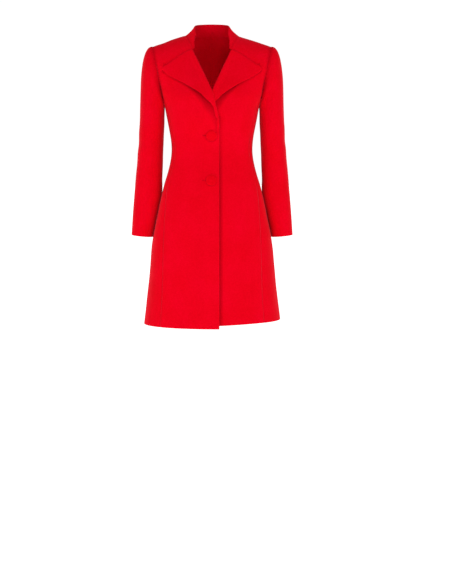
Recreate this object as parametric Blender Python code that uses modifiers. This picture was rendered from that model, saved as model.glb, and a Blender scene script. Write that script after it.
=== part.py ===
"""A single-breasted wool coat in its worn shape, buttoned, as the pieces that are cut and sewn.

Metres, +Z up. The front faces -Y and the wearer's right is at -X. Z = 0 is the height of the shoulder seams'
neck ends, and X = Y = 0 is the middle of the neck. A piece is worked out on one side, with X counted outward
from the centre line, and its X is turned over for the wearer's right. Each piece is a thin wall: a grid of
outer points, and a direction into the garment at each of them.
"""

import math

import bpy
import numpy as np
from mathutils import Matrix, Vector
from mathutils.bvhtree import BVHTree

RIGHT, LEFT = -1, 1  # the wearer's sides, as the sign of X

# ---------------------------------------------------------------- driving sizes

BODY_WALL = 0.0022  # the wool and what backs it
SLEEVE_WALL = 0.0020
COLLAR_WALL = 0.0030  # two layers, seamed
COLLAR_TIP_WALL = 0.0020
LAPEL_WALL = 0.0022
LAPEL_BREAK_WALL = 0.0010
SEAM_GAP = 0.00034
POCKET_GAPE = 0.0016  # how far the in-seam pocket mouths stand open
POCKET_MIDDLE, POCKET_HALF = -0.545, 0.075  # height of a mouth's middle, and half its length
POCKET_END = 0.75  # share of that half where the mouth starts to close

HEM = {RIGHT: (-0.9395, -0.9385), LEFT: (-0.9300, -0.9245)}  # heights at the front edge and at the side seam
HEM_BACK = -0.9340  # at the centre-back seam
FRONT_EDGE = 0.023  # how far each front runs past the centre line
BREAK = -0.258  # height where the lapels start to turn back
BREAK_FADE = 0.020  # the edge draws in over this height below the break
LAP_OUT, LAP_IN = 0.0016, 0.0012  # right front out, left front in, where they overlap
LAP_LIFT = 0.0030  # the right front also clears the left lapel
LAP_FULL, LAP_NONE = 0.030, 0.110  # distances from the centre where those are full, and nothing
LAP_TOP = (-0.130, -0.070)  # heights between which the fronts' shift dies out
LAP_LIFT_UP, LAP_LIFT_DOWN = (-0.315, -0.265), (-0.150, -0.100)  # and between which the lift starts and ends

RING_POWER = 2.3  # the body's rings are ovals of this power
BODY = {
    name: np.array(column)
    for name, column in zip(
        ("height", "half_width", "front_depth", "back_depth", "front_seam", "back_seam"),
        zip(
            (-0.945, 0.2310, 0.1600, 0.1720, 0.1715, 0.1650),
            (-0.810, 0.2140, 0.1500, 0.1600, 0.1635, 0.1500),
            (-0.660, 0.1985, 0.1380, 0.1460, 0.1600, 0.1380),
            (-0.574, 0.1808, 0.1300, 0.1360, 0.1560, 0.1250),
            (-0.488, 0.1618, 0.1180, 0.1200, 0.1485, 0.1100),
            (-0.422, 0.1420, 0.1060, 0.1000, 0.1330, 0.0980),
            (-0.385, 0.1347, 0.1005, 0.0880, 0.1245, 0.0930),
            (-0.353, 0.1335, 0.0990, 0.0840, 0.1220, 0.0920),
            (-0.300, 0.1405, 0.1120, 0.0920, 0.1300, 0.1120),
            (-0.244, 0.1510, 0.1260, 0.1030, 0.1425, 0.1330),
            (-0.223, 0.1544, 0.1270, 0.1060, 0.1472, 0.1370),
            (-0.195, 0.1544, 0.1250, 0.1080, 0.1599, 0.1552),
            (-0.165, 0.1544, 0.1220, 0.1100, 0.1661, 0.1661),
        ),
    )
}

ARM_LOW, ARM_HIGH = (0.1544, -0.2230), (0.1924, -0.0280)  # (x, z) of the underarm and of the shoulder tip
ARM_FRONT, ARM_BACK = 0.058, 0.070  # how far the armhole reaches forward and back
ARM_EGG = 1.12  # over 1, an oval is fuller low down
SLEEVE_POWER = 2.2
FRONT_MEET, BACK_MEET = 52.5, 74.5  # degrees round the armhole where the side panel's seams reach it
EDGE_TURN = (40.0, 130.0)  # between these the panels' edges at the armhole turn into its plane
SIDE_SWING = 3  # power of the height by which the side panel's columns swing to their places on the armhole

# A front's rows above the side panel: the angle round the armhole where a row ends, the point of the roll
# line or neckline where it starts, and the reach of the oval that bends it.
FRONT_ROWS = {
    name: np.array(column)
    for name, column in zip(
        ("angle", "x", "y", "z", "reach"),
        zip(
            (35.0, -0.0135, -0.1265, -0.2250, 0.160),
            (52.5, -0.0075, -0.1250, -0.1950, 0.1686),
            (75.0, 0.0160, -0.1060, -0.1390, 0.176),
            (98.0, 0.0410, -0.0830, -0.0855, 0.190),
            (118.0, 0.0635, -0.0620, -0.0405, 0.205),
            (140.0, 0.0760, -0.0400, -0.0140, 0.220),
            (160.0, 0.0850, -0.0180, 0.0010, 0.230),
            (180.0, 0.0880, 0.0000, 0.0060, 0.240),
        ),
    )
}
NOTCH = 118.0  # the front row that starts where lapel, collar and front meet
BACK_ROWS = {
    name: np.array(column)
    for name, column in zip(
        ("angle", "x", "y", "z", "reach"),
        zip(
            (60.0, 0.0, 0.1090, -0.1900, 0.185),
            (74.5, 0.0, 0.1100, -0.1650, 0.1972),
            (95.0, 0.0, 0.1070, -0.1100, 0.205),
            (115.0, 0.0, 0.0980, -0.0550, 0.215),
            (135.0, 0.0, 0.0790, 0.0080, 0.225),
            (152.0, 0.0450, 0.0670, 0.0090, 0.232),
            (167.0, 0.0770, 0.0350, 0.0085, 0.236),
            (180.0, 0.0880, 0.0000, 0.0060, 0.240),
        ),
    )
}
BACK_NECK = 135.0  # the back row that starts at the top of the centre-back seam
SHOULDER_CROWN = 0.001  # how far the padded shoulder line rises above a straight one
CROWN_FROM = 130.0  # the row where that rise starts
FACES_FRONT, FACES_BACK = (0, -1, 0.4), (0, 1, 0.4)  # roughly which way the two halves of the body face

# The roll line, where a lapel turns back, and the lapel's outer edge from the break to the tip, as (x, z)
# seen from the front. Its top edge runs from the roll line's end to the tip.
ROLL_LINE = (
    (-0.0225, -0.2580), (-0.0128, -0.2220), (-0.0080, -0.1970), (0.0000, -0.1730),
    (0.0205, -0.1290), (0.0410, -0.0850), (0.0590, -0.0445),
)
LAPEL_EDGE = (
    (-0.0177, -0.2540), (-0.0128, -0.2400), (0.0016, -0.2160), (0.0192, -0.2000), (0.0328, -0.1870),
    (0.0602, -0.1685), (0.0880, -0.1510), (0.1160, -0.1365), (0.1385, -0.1230), (0.1572, -0.1070),
)
LAPEL_TOP = (
    (0.0590, -0.0445), (0.0793, -0.0510), (0.0980, -0.0630), (0.1200, -0.0780), (0.1390, -0.0910),
    (0.1535, -0.1000), (0.1572, -0.1070),
)
LAPEL_TOP_POWER = 6  # only the rows near the tip follow the bow of the top edge
LAPEL_THIN = 0.15  # share of the lapel's length over which the wall thins to the break
LAPEL_CLEAR = 0.0007  # between a lapel and the front under it, at the roll
LAPEL_LIFT = 0.0035  # how much further its outer edge stands off
LAPEL_LIFT_FROM = {RIGHT: 0.05, LEFT: 0.25}  # share of the lapel's length where that starts
LAPEL_LIFT_OVER = 0.30  # and over which it comes
LAPEL_GUIDE = 0.012  # the front's surface is carried on this far past the roll line for the lapel to follow
ROLL_SETBACK = 0.0040  # a front's own edge ends this far inside the roll
ROLL_HALF = 0.0018  # inner radius of the roll round the front's edge

# The collar's top edge, by the angle of the neckline point under it: up to 180 that of the front's row, and
# past it 360 less that of the back's row.
COLLAR_TOP = {
    name: np.array(column)
    for name, column in zip(
        ("angle", "x", "y", "z"),
        zip(
            (118.0, 0.0600, -0.0600, -0.0370),
            (140.0, 0.0585, -0.0460, -0.0120),
            (160.0, 0.0545, -0.0300, 0.0130),
            (180.0, 0.0560, -0.0080, 0.0350),
            (193.0, 0.0550, 0.0220, 0.0430),
            (208.0, 0.0350, 0.0500, 0.0480),
            (225.0, 0.0000, 0.0620, 0.0500),
        ),
    )
}
COLLAR_HOLLOW = 0.004  # the stand curves in by this much between its seam and its top
COLLAR_TIP = 0.8  # share of the way round to a tip where the collar starts to thin

SLEEVE = {
    name: np.array(column)
    for name, column in zip(
        ("outer_x", "outer_z", "inner_x", "inner_z", "front", "back", "middle", "egg"),
        zip(
            (*ARM_HIGH, *ARM_LOW, ARM_FRONT, ARM_BACK, 0.000, ARM_EGG),
            (0.2042, -0.0302, 0.1550, -0.2275, 0.0600, 0.0710, 0.000, 1.11),
            (0.2140, -0.0415, 0.1554, -0.2315, 0.0615, 0.0710, 0.000, 1.10),
            (0.2222, -0.0620, 0.1556, -0.2360, 0.0625, 0.0700, 0.000, 1.08),
            (0.2285, -0.0930, 0.1558, -0.2410, 0.0630, 0.0690, 0.001, 1.06),
            (0.2332, -0.1400, 0.1560, -0.2470, 0.0635, 0.0675, 0.002, 1.04),
            (0.2352, -0.2000, 0.1564, -0.2560, 0.0635, 0.0660, 0.003, 1.02),
            (0.2375, -0.2600, 0.1568, -0.2750, 0.0630, 0.0650, 0.004, 1.00),
            (0.2422, -0.3400, 0.1605, -0.3480, 0.0600, 0.0630, 0.007, 1.00),
            (0.2503, -0.4250, 0.1638, -0.4300, 0.0570, 0.0610, 0.010, 1.00),
            (0.2578, -0.5050, 0.1695, -0.5110, 0.0530, 0.0570, 0.011, 1.00),
            (0.2635, -0.5720, 0.1842, -0.5790, 0.0500, 0.0530, 0.009, 1.00),
            (0.2684, -0.6445, 0.1995, -0.6515, 0.0460, 0.0480, 0.006, 1.00),
        ),
    )
}
SLEEVE_CLEAR = 0.0004  # the sleeve starts this far out from the armhole's plane

BUTTON_X = 0.002  # toward the wearer's right of the centre line
BUTTON_HEIGHTS = {"button_top": -0.3165, "button_bottom": -0.4600}
BUTTON_RADIUS = 0.0175
BUTTON_SEAT = 0.0003
# The profile of a covered button, out from the shank: (share of the radius, height above the cloth under it).
BUTTON_PROFILE = (
    (0.00, 0.0000), (0.30, 0.0000), (0.30, 0.0012), (0.90, 0.0013), (1.00, 0.0024), (0.985, 0.0034),
    (0.90, 0.0047), (0.72, 0.0059), (0.45, 0.0067), (0.20, 0.0070), (0.00, 0.0070),
)

# ---------------------------------------------------------------- how finely each piece is drawn

LOW_ROWS = 21  # from the hem to where the side panel ends
LOW_CROWDING = 0.35  # how much closer together they are toward the top
ARM_STEPS = 5  # from there to the notch on a front, and to the neck on a back
NECK_ROW = LOW_ROWS + ARM_STEPS - 1  # the row that starts there
FRONT_NECK_STEPS, BACK_NECK_STEPS = 5, 4  # and from there to the shoulder seam
FRONT_ANGLES, BACK_ANGLES = (
    np.concatenate([np.linspace(meet, neck, ARM_STEPS + 1), np.linspace(neck, 180, steps + 1)[1:]])
    for meet, neck, steps in ((FRONT_MEET, NOTCH, FRONT_NECK_STEPS), (BACK_MEET, BACK_NECK, BACK_NECK_STEPS))
)
SIDE_ANGLES = np.linspace(FRONT_MEET, -BACK_MEET, 10)
FRONT_COLUMNS, BACK_COLUMNS = 11, 9
COLUMN_CROWDING = 1.6  # power that brings columns closer together toward the side
SLEEVE_RINGS = np.concatenate([np.arange(0, 6), np.arange(6, 12.25, 0.5)])
COLLAR_ROWS = 5
LAPEL_ROWS, LAPEL_ROW_CROWDING = 12, 1.25
ROLL_STEPS, LAPEL_STEPS, LAPEL_STEP_CROWDING = 5, 9, 1.3
BUTTON_STEPS = 24
SHARP = math.radians(40)  # edges sharper than this are shaded as corners
SAME = 0.00001  # points closer than this are one


# ---------------------------------------------------------------- curves and ovals


def smooth(keys, values, at):
    """A curve through the values that never overshoots them, read at some keys; straight past the ends."""
    keys, values, at = (np.asarray(given, float) for given in (keys, values, at))
    step = np.diff(keys)
    rise = np.diff(values) / step
    slope = np.concatenate([rise[:1], np.zeros(len(rise) - 1), rise[-1:]])
    same = rise[:-1] * rise[1:] > 0
    slope[1:-1][same] = 2 * (rise[:-1] * rise[1:])[same] / (rise[:-1] + rise[1:])[same]
    place = np.clip(np.searchsorted(keys, at) - 1, 0, len(step) - 1)
    share = (at - keys[place]) / step[place]
    t = np.clip(share, 0, 1)
    inside = (
        values[place] * (1 + 2 * t) * (1 - t) ** 2
        + values[place + 1] * t**2 * (3 - 2 * t)
        + step[place] * (slope[place] * t * (1 - t) ** 2 + slope[place + 1] * t**2 * (t - 1))
    )
    past = np.where(share > 1, slope[place + 1], slope[place]) * (share - t) * step[place]
    return inside + past


def along(points, shares):
    """Points of the smooth curve through some points, at shares of its length."""
    points = np.asarray(points, float)
    lengths = np.concatenate([[0], np.cumsum(np.linalg.norm(np.diff(points, axis=0), axis=1))])
    return np.stack([smooth(lengths / lengths[-1], column, shares) for column in points.T], axis=-1)


def fade(start, end, at):
    """0 at the start, 1 at the end, level at both."""
    t = np.clip((np.asarray(at, float) - start) / (end - start), 0, 1)
    return t * t * (3 - 2 * t)


def unit(vectors):
    return vectors / np.linalg.norm(vectors, axis=-1, keepdims=True)


def round_off(share):
    """The body oval's second coordinate, as a share, for one as a share of the other axis."""
    return np.maximum(1 - np.abs(share) ** RING_POWER, 0) ** (1 / RING_POWER)


def oval(angles, low, high, front, back, middle=0.0, egg=1.0):
    """A ring in a plane that holds the Y axis: 0 degrees at its low end, 90 in front, 180 at its high end."""
    turn = np.radians(angles)
    across, along_y = (
        np.sign(part) * np.abs(part) ** (2 / SLEEVE_POWER) for part in (np.cos(turn), np.sin(turn))
    )
    up = ((1 - across) / 2) ** egg
    y = middle - np.where(along_y > 0, front, back) * along_y
    return np.stack([low[0] + (high[0] - low[0]) * up, y, low[1] + (high[1] - low[1]) * up], axis=-1)


def armhole(angles):
    return oval(angles, ARM_LOW, ARM_HIGH, ARM_FRONT, ARM_BACK, egg=ARM_EGG)


def armhole_at(z, front):
    """(x, distance forward or back) of the armhole at a height."""
    up = np.clip((z - ARM_LOW[1]) / (ARM_HIGH[1] - ARM_LOW[1]), 0, 1)
    across = 1 - 2 * up ** (1 / ARM_EGG)
    reach = np.maximum(1 - np.abs(across) ** SLEEVE_POWER, 0) ** (1 / SLEEVE_POWER)
    return ARM_LOW[0] + (ARM_HIGH[0] - ARM_LOW[0]) * up, (ARM_FRONT if front else ARM_BACK) * reach


def armhole_inward(angles):
    """The directions in the armhole's plane from its edge toward its middle."""
    tangent = unit(armhole(np.asarray(angles) + 0.5) - armhole(np.asarray(angles) - 0.5))
    plane = unit(np.array([ARM_HIGH[1] - ARM_LOW[1], 0, ARM_LOW[0] - ARM_HIGH[0]]))
    inward = unit(np.cross(tangent, plane))
    middle = (armhole(0.0) + armhole(180.0)) / 2
    flip = np.sum(inward * (middle - armhole(angles)), axis=-1) < 0
    inward[flip] *= -1
    return inward


# ---------------------------------------------------------------- the body's shape


def body_size(z, front):
    """(half width, depth) of the body's ring. Above the underarm it passes through the armhole's edge."""
    depth = smooth(BODY["height"], BODY["front_depth" if front else "back_depth"], z)
    arm_x, arm_y = armhole_at(z, front)
    half = np.where(
        z > ARM_LOW[1], arm_x / round_off(arm_y / depth), smooth(BODY["height"], BODY["half_width"], z)
    )
    return half, depth


def seam_x(z, front):
    """The distance from the centre of the seam between the side panel and the front, or the back."""
    meet = armhole(FRONT_MEET if front else BACK_MEET)[2]
    column = smooth(BODY["height"], BODY["front_seam" if front else "back_seam"], z)
    arm_x = armhole_at(z, front)[0]
    return np.where(z >= meet - SAME, arm_x, np.where(z > ARM_LOW[1], np.minimum(column, arm_x), column))


def body_y(x, z, front):
    half, depth = body_size(z, front)
    return (-1 if front else 1) * depth * round_off(x / half)


def body_inward(points, front):
    """The directions into the body, square to its rings and to its slope."""

    def level(x, y, z):
        half, depth = body_size(z, front)
        return (np.abs(x) / half) ** RING_POWER + (np.abs(y) / depth) ** RING_POWER

    small = 0.0004
    x, y, z = np.moveaxis(points, -1, 0)
    slope = [
        level(x + small, y, z) - level(x - small, y, z),
        level(x, y + small, z) - level(x, y - small, z),
        level(x, y, z + small) - level(x, y, z - small),
    ]
    return -unit(np.stack(slope, axis=-1))


def grid_inward(points, outside):
    """The directions square to a grid of points and away from the side named by `outside`."""
    square = unit(np.cross(np.gradient(points, axis=0), np.gradient(points, axis=1)))
    turned = np.sum(square * outside, axis=-1, keepdims=True) > 0
    return np.where(turned, -square, square)


def edge_inward(angles, own):
    """Wall directions at the armhole: in its plane over the shoulder, and the panel's own under the arm."""
    share = fade(*EDGE_TURN, np.abs(angles))[:, None]
    return unit(own * (1 - share) + armhole_inward(angles) * share)


def row_heights(hem, top):
    """Heights of the rows below the armhole, for each column's hem and top."""
    share = np.linspace(0, 1, LOW_ROWS)
    share = share * (1 + LOW_CROWDING - LOW_CROWDING * share)
    return hem + (top - hem) * share[:, None]


def top_rows(table, angles, columns, setback):
    """Rows from the roll line or the neckline to the armhole: their points, each row bent by an oval."""
    start = np.stack([smooth(table["angle"], table[name], angles) for name in "xyz"], axis=-1)
    reach = smooth(table["angle"], table["reach"], angles)[:, None]
    end = armhole(np.where(table is BACK_ROWS, -1, 1) * angles)
    first = start[:, 0:1] + setback[:, None]
    x = first + (end[:, 0:1] - first) * columns
    share = (x - start[:, 0:1]) / (end[:, 0:1] - start[:, 0:1])
    low, high = round_off(start[:, 0:1] / reach), round_off(end[:, 0:1] / reach)
    y = start[:, 1:2] + (end[:, 1:2] - start[:, 1:2]) * (low - round_off(x / reach)) / (low - high)
    crown = SHOULDER_CROWN * fade(CROWN_FROM, 180, angles)[:, None]
    z = start[:, 2:3] + (end[:, 2:3] - start[:, 2:3]) * share + crown * 4 * share * (1 - share)
    return np.stack([x, y, z], axis=-1)


# ---------------------------------------------------------------- grids of the body's pieces


def roll_x(z):
    """The roll line's distance from the centre at a height."""
    points = np.array(ROLL_LINE)
    return smooth(points[:, 1], points[:, 0], z)


def lap(side, x, z):
    """How far a front is moved forward where the fronts overlap."""
    near = 1 - fade(LAP_FULL, LAP_NONE, x)
    low = 1 - fade(*LAP_TOP, z)
    if side == LEFT:
        return -LAP_IN * near * low
    over_lapel = fade(*LAP_LIFT_UP, z) * (1 - fade(*LAP_LIFT_DOWN, z))
    return (LAP_OUT * low + LAP_LIFT * over_lapel) * near


def hem_heights(side, start, columns):
    """Heights of a panel's hem, level at both ends, from its start to the side seam."""
    return start + (HEM[side][1] - start) * fade(0, 1, columns)


def front_grid(side, past_edge=None):
    """Outer points and wall directions of a front, hem to shoulder and front edge to side. With `past_edge`,
    one more column lies that far before the roll line, which gives the lapel a surface to follow."""
    columns = 1 - (1 - np.linspace(0, 1, FRONT_COLUMNS)) ** COLUMN_CROWDING
    z = row_heights(hem_heights(side, HEM[side][0], columns), armhole(FRONT_MEET)[2])
    drawn_in = ROLL_SETBACK * fade(BREAK - BREAK_FADE, BREAK, z)
    edge = np.where(z < BREAK, -FRONT_EDGE, np.maximum(roll_x(z), -FRONT_EDGE))
    first = edge + drawn_in
    x = first + (seam_x(z, True) - first) * columns
    angles = FRONT_ANGLES[1:]
    setback = np.where(np.arange(len(angles)) < ARM_STEPS, ROLL_SETBACK, 0.0)
    upper = top_rows(FRONT_ROWS, angles, columns, setback)
    if past_edge is not None:
        x = np.concatenate([edge[:, :1] - past_edge, x], axis=1)
        z = np.concatenate([z[:, :1], z], axis=1)
        before = top_rows(FRONT_ROWS, angles, columns[:1], np.full(len(angles), -past_edge))
        upper = np.concatenate([before, upper], axis=1)
    lower = np.stack([x, body_y(x, z, True), z], axis=-1)
    points = np.concatenate([lower, upper])
    inward = grid_inward(points, FACES_FRONT)
    inward[:LOW_ROWS] = body_inward(lower, True)
    inward[LOW_ROWS - 1 :, -1] = edge_inward(FRONT_ANGLES, body_inward(points[LOW_ROWS - 1 :, -1], True))
    points[..., 1] -= lap(side, points[..., 0], points[..., 2])
    return points, inward


def back_grid(side):
    columns = 1 - (1 - np.linspace(0, 1, BACK_COLUMNS)) ** COLUMN_CROWDING
    z = row_heights(hem_heights(side, HEM_BACK, columns), armhole(-BACK_MEET)[2])
    x = seam_x(z, False) * columns
    lower = np.stack([x, body_y(x, z, False), z], axis=-1)
    upper = top_rows(BACK_ROWS, BACK_ANGLES[1:], columns, np.zeros(len(BACK_ANGLES) - 1))
    points = np.concatenate([lower, upper])
    inward = grid_inward(points, FACES_BACK)
    inward[:LOW_ROWS] = body_inward(lower, False)
    on_centre = inward[:, 0] * (0, 1, 1)
    inward[:, 0] = unit(on_centre)
    inward[LOW_ROWS - 1 :, -1] = edge_inward(-BACK_ANGLES, body_inward(points[LOW_ROWS - 1 :, -1], False))
    return points, inward


def side_grid(side):
    """The side panel, front seam to back seam, whose top edge follows the armhole under the arm."""
    top = armhole(SIDE_ANGLES)
    z = row_heights(HEM[side][1], top[:, 2])
    front_y = body_y(seam_x(z, True), z, True)
    back_y = body_y(seam_x(z, False), z, False)
    even = np.linspace(0, 1, len(SIDE_ANGLES))
    at_top = (top[:, 1] - front_y[-1]) / (back_y[-1] - front_y[-1])
    rise = np.linspace(0, 1, LOW_ROWS)[:, None] ** SIDE_SWING
    share = even + (at_top - even) * rise
    y = front_y + (back_y - front_y) * share
    is_front = y < 0
    size_front, size_back = body_size(z, True), body_size(z, False)
    half = np.where(is_front, size_front[0], size_back[0])
    depth = np.where(is_front, size_front[1], size_back[1])
    x = half * round_off(y / depth)
    points = np.stack([x, y, z], axis=-1)
    inward = np.where(is_front[..., None], body_inward(points, True), body_inward(points, False))
    inward[-1] = edge_inward(SIDE_ANGLES, inward[-1])
    return points, inward


# ---------------------------------------------------------------- walls


def draw_back(points, inward, edge, gap=SEAM_GAP / 2):
    """Moves one edge of a grid back from its seam, square to the seam and to the wall."""
    line, inside = {
        "first_row": ((0, slice(None)), (1, slice(None))),
        "last_row": ((-1, slice(None)), (-2, slice(None))),
        "first_column": ((slice(None), 0), (slice(None), 1)),
        "last_column": ((slice(None), -1), (slice(None), -2)),
    }[edge]
    tangent = np.gradient(points[line], axis=0)
    square = unit(np.cross(tangent, inward[line]))
    away = np.sum(square * (points[inside] - points[line]), axis=-1, keepdims=True)
    points[line] += np.where(away < 0, -square, square) * np.reshape(gap, (-1, 1))


def pocket_gap(z):
    """Half the seam's gap, which opens at a pocket mouth."""
    mouth = 1 - fade(POCKET_END, 1.0, np.abs(z - POCKET_MIDDLE) / POCKET_HALF)
    return SEAM_GAP / 2 + (POCKET_GAPE - SEAM_GAP) / 2 * mouth


def piece(name, mesh, material, collection):
    mesh.materials.append(material)
    made = bpy.data.objects.new(name, mesh)
    collection.objects.link(made)
    return made


def wall(name, outer, inward, thickness, material, collection):
    """A closed wall: the outer grid, the inner grid behind it, and the four edges between them."""
    rows, columns = outer.shape[:2]
    inner = outer + inward * np.reshape(thickness, (-1, 1, 1))
    points = np.concatenate([outer.reshape(-1, 3), inner.reshape(-1, 3)])
    shift = rows * columns
    index = np.arange(shift).reshape(rows, columns)
    front = np.stack([index[:-1, :-1], index[1:, :-1], index[1:, 1:], index[:-1, 1:]], axis=-1).reshape(-1, 4)
    rim = np.concatenate([index[0], index[1:, -1], index[-1, -2::-1], index[-2:0:-1, 0]])
    onward = np.roll(rim, -1)
    edges = np.stack([rim, onward, onward + shift, rim + shift], axis=-1)
    # A twisted edge face is split from its lower corner, as its neighbour's across the seam is.
    falls = points[rim, 2] > points[onward, 2]
    edges[falls] = np.roll(edges[falls], -1, axis=1)
    faces = np.concatenate([front, front[:, ::-1] + shift, edges])
    corner = points[faces[:, [0, 1, 2]]], points[faces[:, [0, 2, 3]]]
    if sum(np.linalg.det(three).sum() for three in corner) < 0:
        faces = faces[:, ::-1]
    mesh = bpy.data.meshes.new(name)
    mesh.from_pydata(points.tolist(), [], faces.tolist())
    mesh.shade_smooth()
    mesh.set_sharp_from_angle(angle=SHARP)
    return piece(name, mesh, material, collection)


def on_side(points, side):
    return points * (side, 1, 1)


def side_wall(kind, side, outer, inward, thickness, material, collection):
    """The wall of a piece worked out on one side, turned over for the wearer's right."""
    name = f"{kind}_right" if side == RIGHT else f"{kind}_left"
    wall(name, on_side(outer, side), on_side(inward, side), thickness, material, collection)


# ---------------------------------------------------------------- the pieces


def make_front(side, cloth, collection):
    points, inward = front_grid(side)
    neck = NECK_ROW
    inward[neck:, 0] = neckline()[1][: len(points) - neck]
    shoulder_inward(points, inward)
    draw_back(points, inward, "last_row")
    neck_edge = points[neck:], inward[neck:]
    draw_back(*neck_edge, "first_column")
    seam_edge = points[:LOW_ROWS], inward[:LOW_ROWS]
    draw_back(*seam_edge, "last_column", pocket_gap(points[:LOW_ROWS, -1, 2]))
    side_wall("front", side, points, inward, BODY_WALL, cloth, collection)


def shoulder_inward(points, inward):
    """On the shoulder seam the wall points down, square to the seam, except at its two ends."""
    tangent = unit(points[-1, -1] - points[-1, 0])
    inward[-1, 1:-1] = unit(np.array([tangent[2], 0, -tangent[0]]))


def make_back(side, cloth, collection):
    points, inward = back_grid(side)
    neck = NECK_ROW
    inward[neck:, 0] = neckline()[1][: -(len(points) - neck) - 1 : -1]
    shoulder_inward(points, inward)
    draw_back(points, inward, "last_row")
    neck_edge = points[neck:], inward[neck:]
    draw_back(*neck_edge, "first_column")
    centre_edge = points[: neck + 1], inward[: neck + 1]
    draw_back(*centre_edge, "first_column")
    seam_edge = points[:LOW_ROWS], inward[:LOW_ROWS]
    draw_back(*seam_edge, "last_column")
    side_wall("back", side, points, inward, BODY_WALL, cloth, collection)


def make_side(side, cloth, collection):
    points, inward = side_grid(side)
    draw_back(points, inward, "first_column", pocket_gap(points[:, 0, 2]))
    draw_back(points, inward, "last_column")
    side_wall("side", side, points, inward, BODY_WALL, cloth, collection)


def neckline():
    """The neck seam on one side, from the notch over the side of the neck to the centre back, and the wall
    directions that the panels and the collar share there: half toward the neck, half down."""
    front = front_grid(LEFT)[0][NECK_ROW:, 0]
    back = back_grid(LEFT)[0][NECK_ROW:, 0]
    points = np.concatenate([front, back[-2::-1]])
    tangent = np.gradient(points, axis=0)
    toward = unit(np.stack([-tangent[:, 1], tangent[:, 0], np.zeros(len(tangent))], axis=-1))
    toward[-1] = (0, -1, 0)
    return points, unit(toward + (0, 0, -1))


def make_collar(cloth, collection):
    half, inward_half = neckline()
    angles = np.concatenate([FRONT_ANGLES[ARM_STEPS:], 360 - BACK_ANGLES[ARM_STEPS:-1][::-1]])
    top = np.stack([smooth(COLLAR_TOP["angle"], COLLAR_TOP[name], angles) for name in "xyz"], axis=-1)
    share = np.linspace(0, 1, COLLAR_ROWS)[:, None, None]
    outside = -inward_half * (1, 1, 0)
    points = half + (top - half) * share - COLLAR_HOLLOW * np.sin(np.pi * share) * outside
    points = np.concatenate([points * (-1, 1, 1), points[:, -2::-1]], axis=1)
    inward = grid_inward(points, points * (1, 1, 0))
    inward[0] = np.concatenate([inward_half * (-1, 1, 1), inward_half[-2::-1]])
    draw_back(points, inward, "first_row")
    tip = np.abs(np.linspace(-1, 1, points.shape[1]))
    thickness = COLLAR_TIP_WALL + (COLLAR_WALL - COLLAR_TIP_WALL) * fade(1.0, COLLAR_TIP, tip)
    wall("collar", points.swapaxes(0, 1), inward.swapaxes(0, 1), thickness, cloth, collection)


def make_lapel(side, cloth, collection):
    """The facing, from its fold round the front's edge at the roll line out to the lapel's own edge."""
    guide, _ = front_grid(side, past_edge=LAPEL_GUIDE)
    rows, columns = guide.shape[:2]
    index = np.arange(rows * columns).reshape(rows, columns)
    quads = np.stack([index[:-1, :-1], index[1:, :-1], index[1:, 1:], index[:-1, 1:]], axis=-1).reshape(-1, 4)
    triangles = np.concatenate([quads[:, [0, 1, 2]], quads[:, [0, 2, 3]]])
    surface = BVHTree.FromPolygons(guide.reshape(-1, 3).tolist(), triangles.tolist())

    def on_front(x, z):
        point, normal, _, _ = surface.ray_cast(Vector((x, -1, z)), Vector((0, 1, 0)))
        return np.array(point), np.array(normal if normal.y < 0 else -normal)

    shares = np.linspace(0, 1, LAPEL_ROWS) ** LAPEL_ROW_CROWDING
    roll, edge = along(ROLL_LINE, shares), along(LAPEL_EDGE, shares)
    top = np.array(LAPEL_TOP)
    top_share = np.linalg.norm(top - top[0], axis=1) / np.linalg.norm(top[-1] - top[0])
    thickness = LAPEL_BREAK_WALL + (LAPEL_WALL - LAPEL_BREAK_WALL) * fade(0, LAPEL_THIN, shares)
    outer, inward = [], []
    for share, start, end, thick in zip(shares, roll, edge, thickness):
        length = np.linalg.norm(end - start)
        centre = (ROLL_HALF + thick) / length
        across = np.linspace(0, 1, LAPEL_STEPS + 1) ** LAPEL_STEP_CROWDING
        reach = centre + (1 - centre) * across
        flat = start + (end - start) * reach[:, None]
        bow = np.stack([smooth(top_share, top[:, axis], reach) for axis in (0, 1)], axis=-1)
        straight = top[0] + (top[-1] - top[0]) * reach[:, None]
        flat += (bow - straight) * share**LAPEL_TOP_POWER
        spots = [on_front(x, z) for x, z in flat]
        point, normal = spots[0]
        outward = unit(point - spots[1][0])
        outward = unit(outward - normal * np.dot(outward, normal))
        middle = point - normal * BODY_WALL / 2
        for turn in np.linspace(0, np.pi / 2, ROLL_STEPS):
            away = outward * np.cos(turn) + normal * np.sin(turn)
            outer.append(middle + away * (ROLL_HALF + thick))
            inward.append(-away)
        lift = fade(LAPEL_LIFT_FROM[side], LAPEL_LIFT_FROM[side] + LAPEL_LIFT_OVER, share) * LAPEL_LIFT
        for (point, normal), out in zip(spots[1:], across[1:]):
            outer.append(point + normal * (LAPEL_CLEAR + thick + lift * out))
            inward.append(-normal)
    shape = (LAPEL_ROWS, ROLL_STEPS + LAPEL_STEPS, 3)
    outer, inward = np.reshape(outer, shape), np.reshape(inward, shape)
    side_wall("lapel", side, outer, inward, thickness, cloth, collection)


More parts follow.
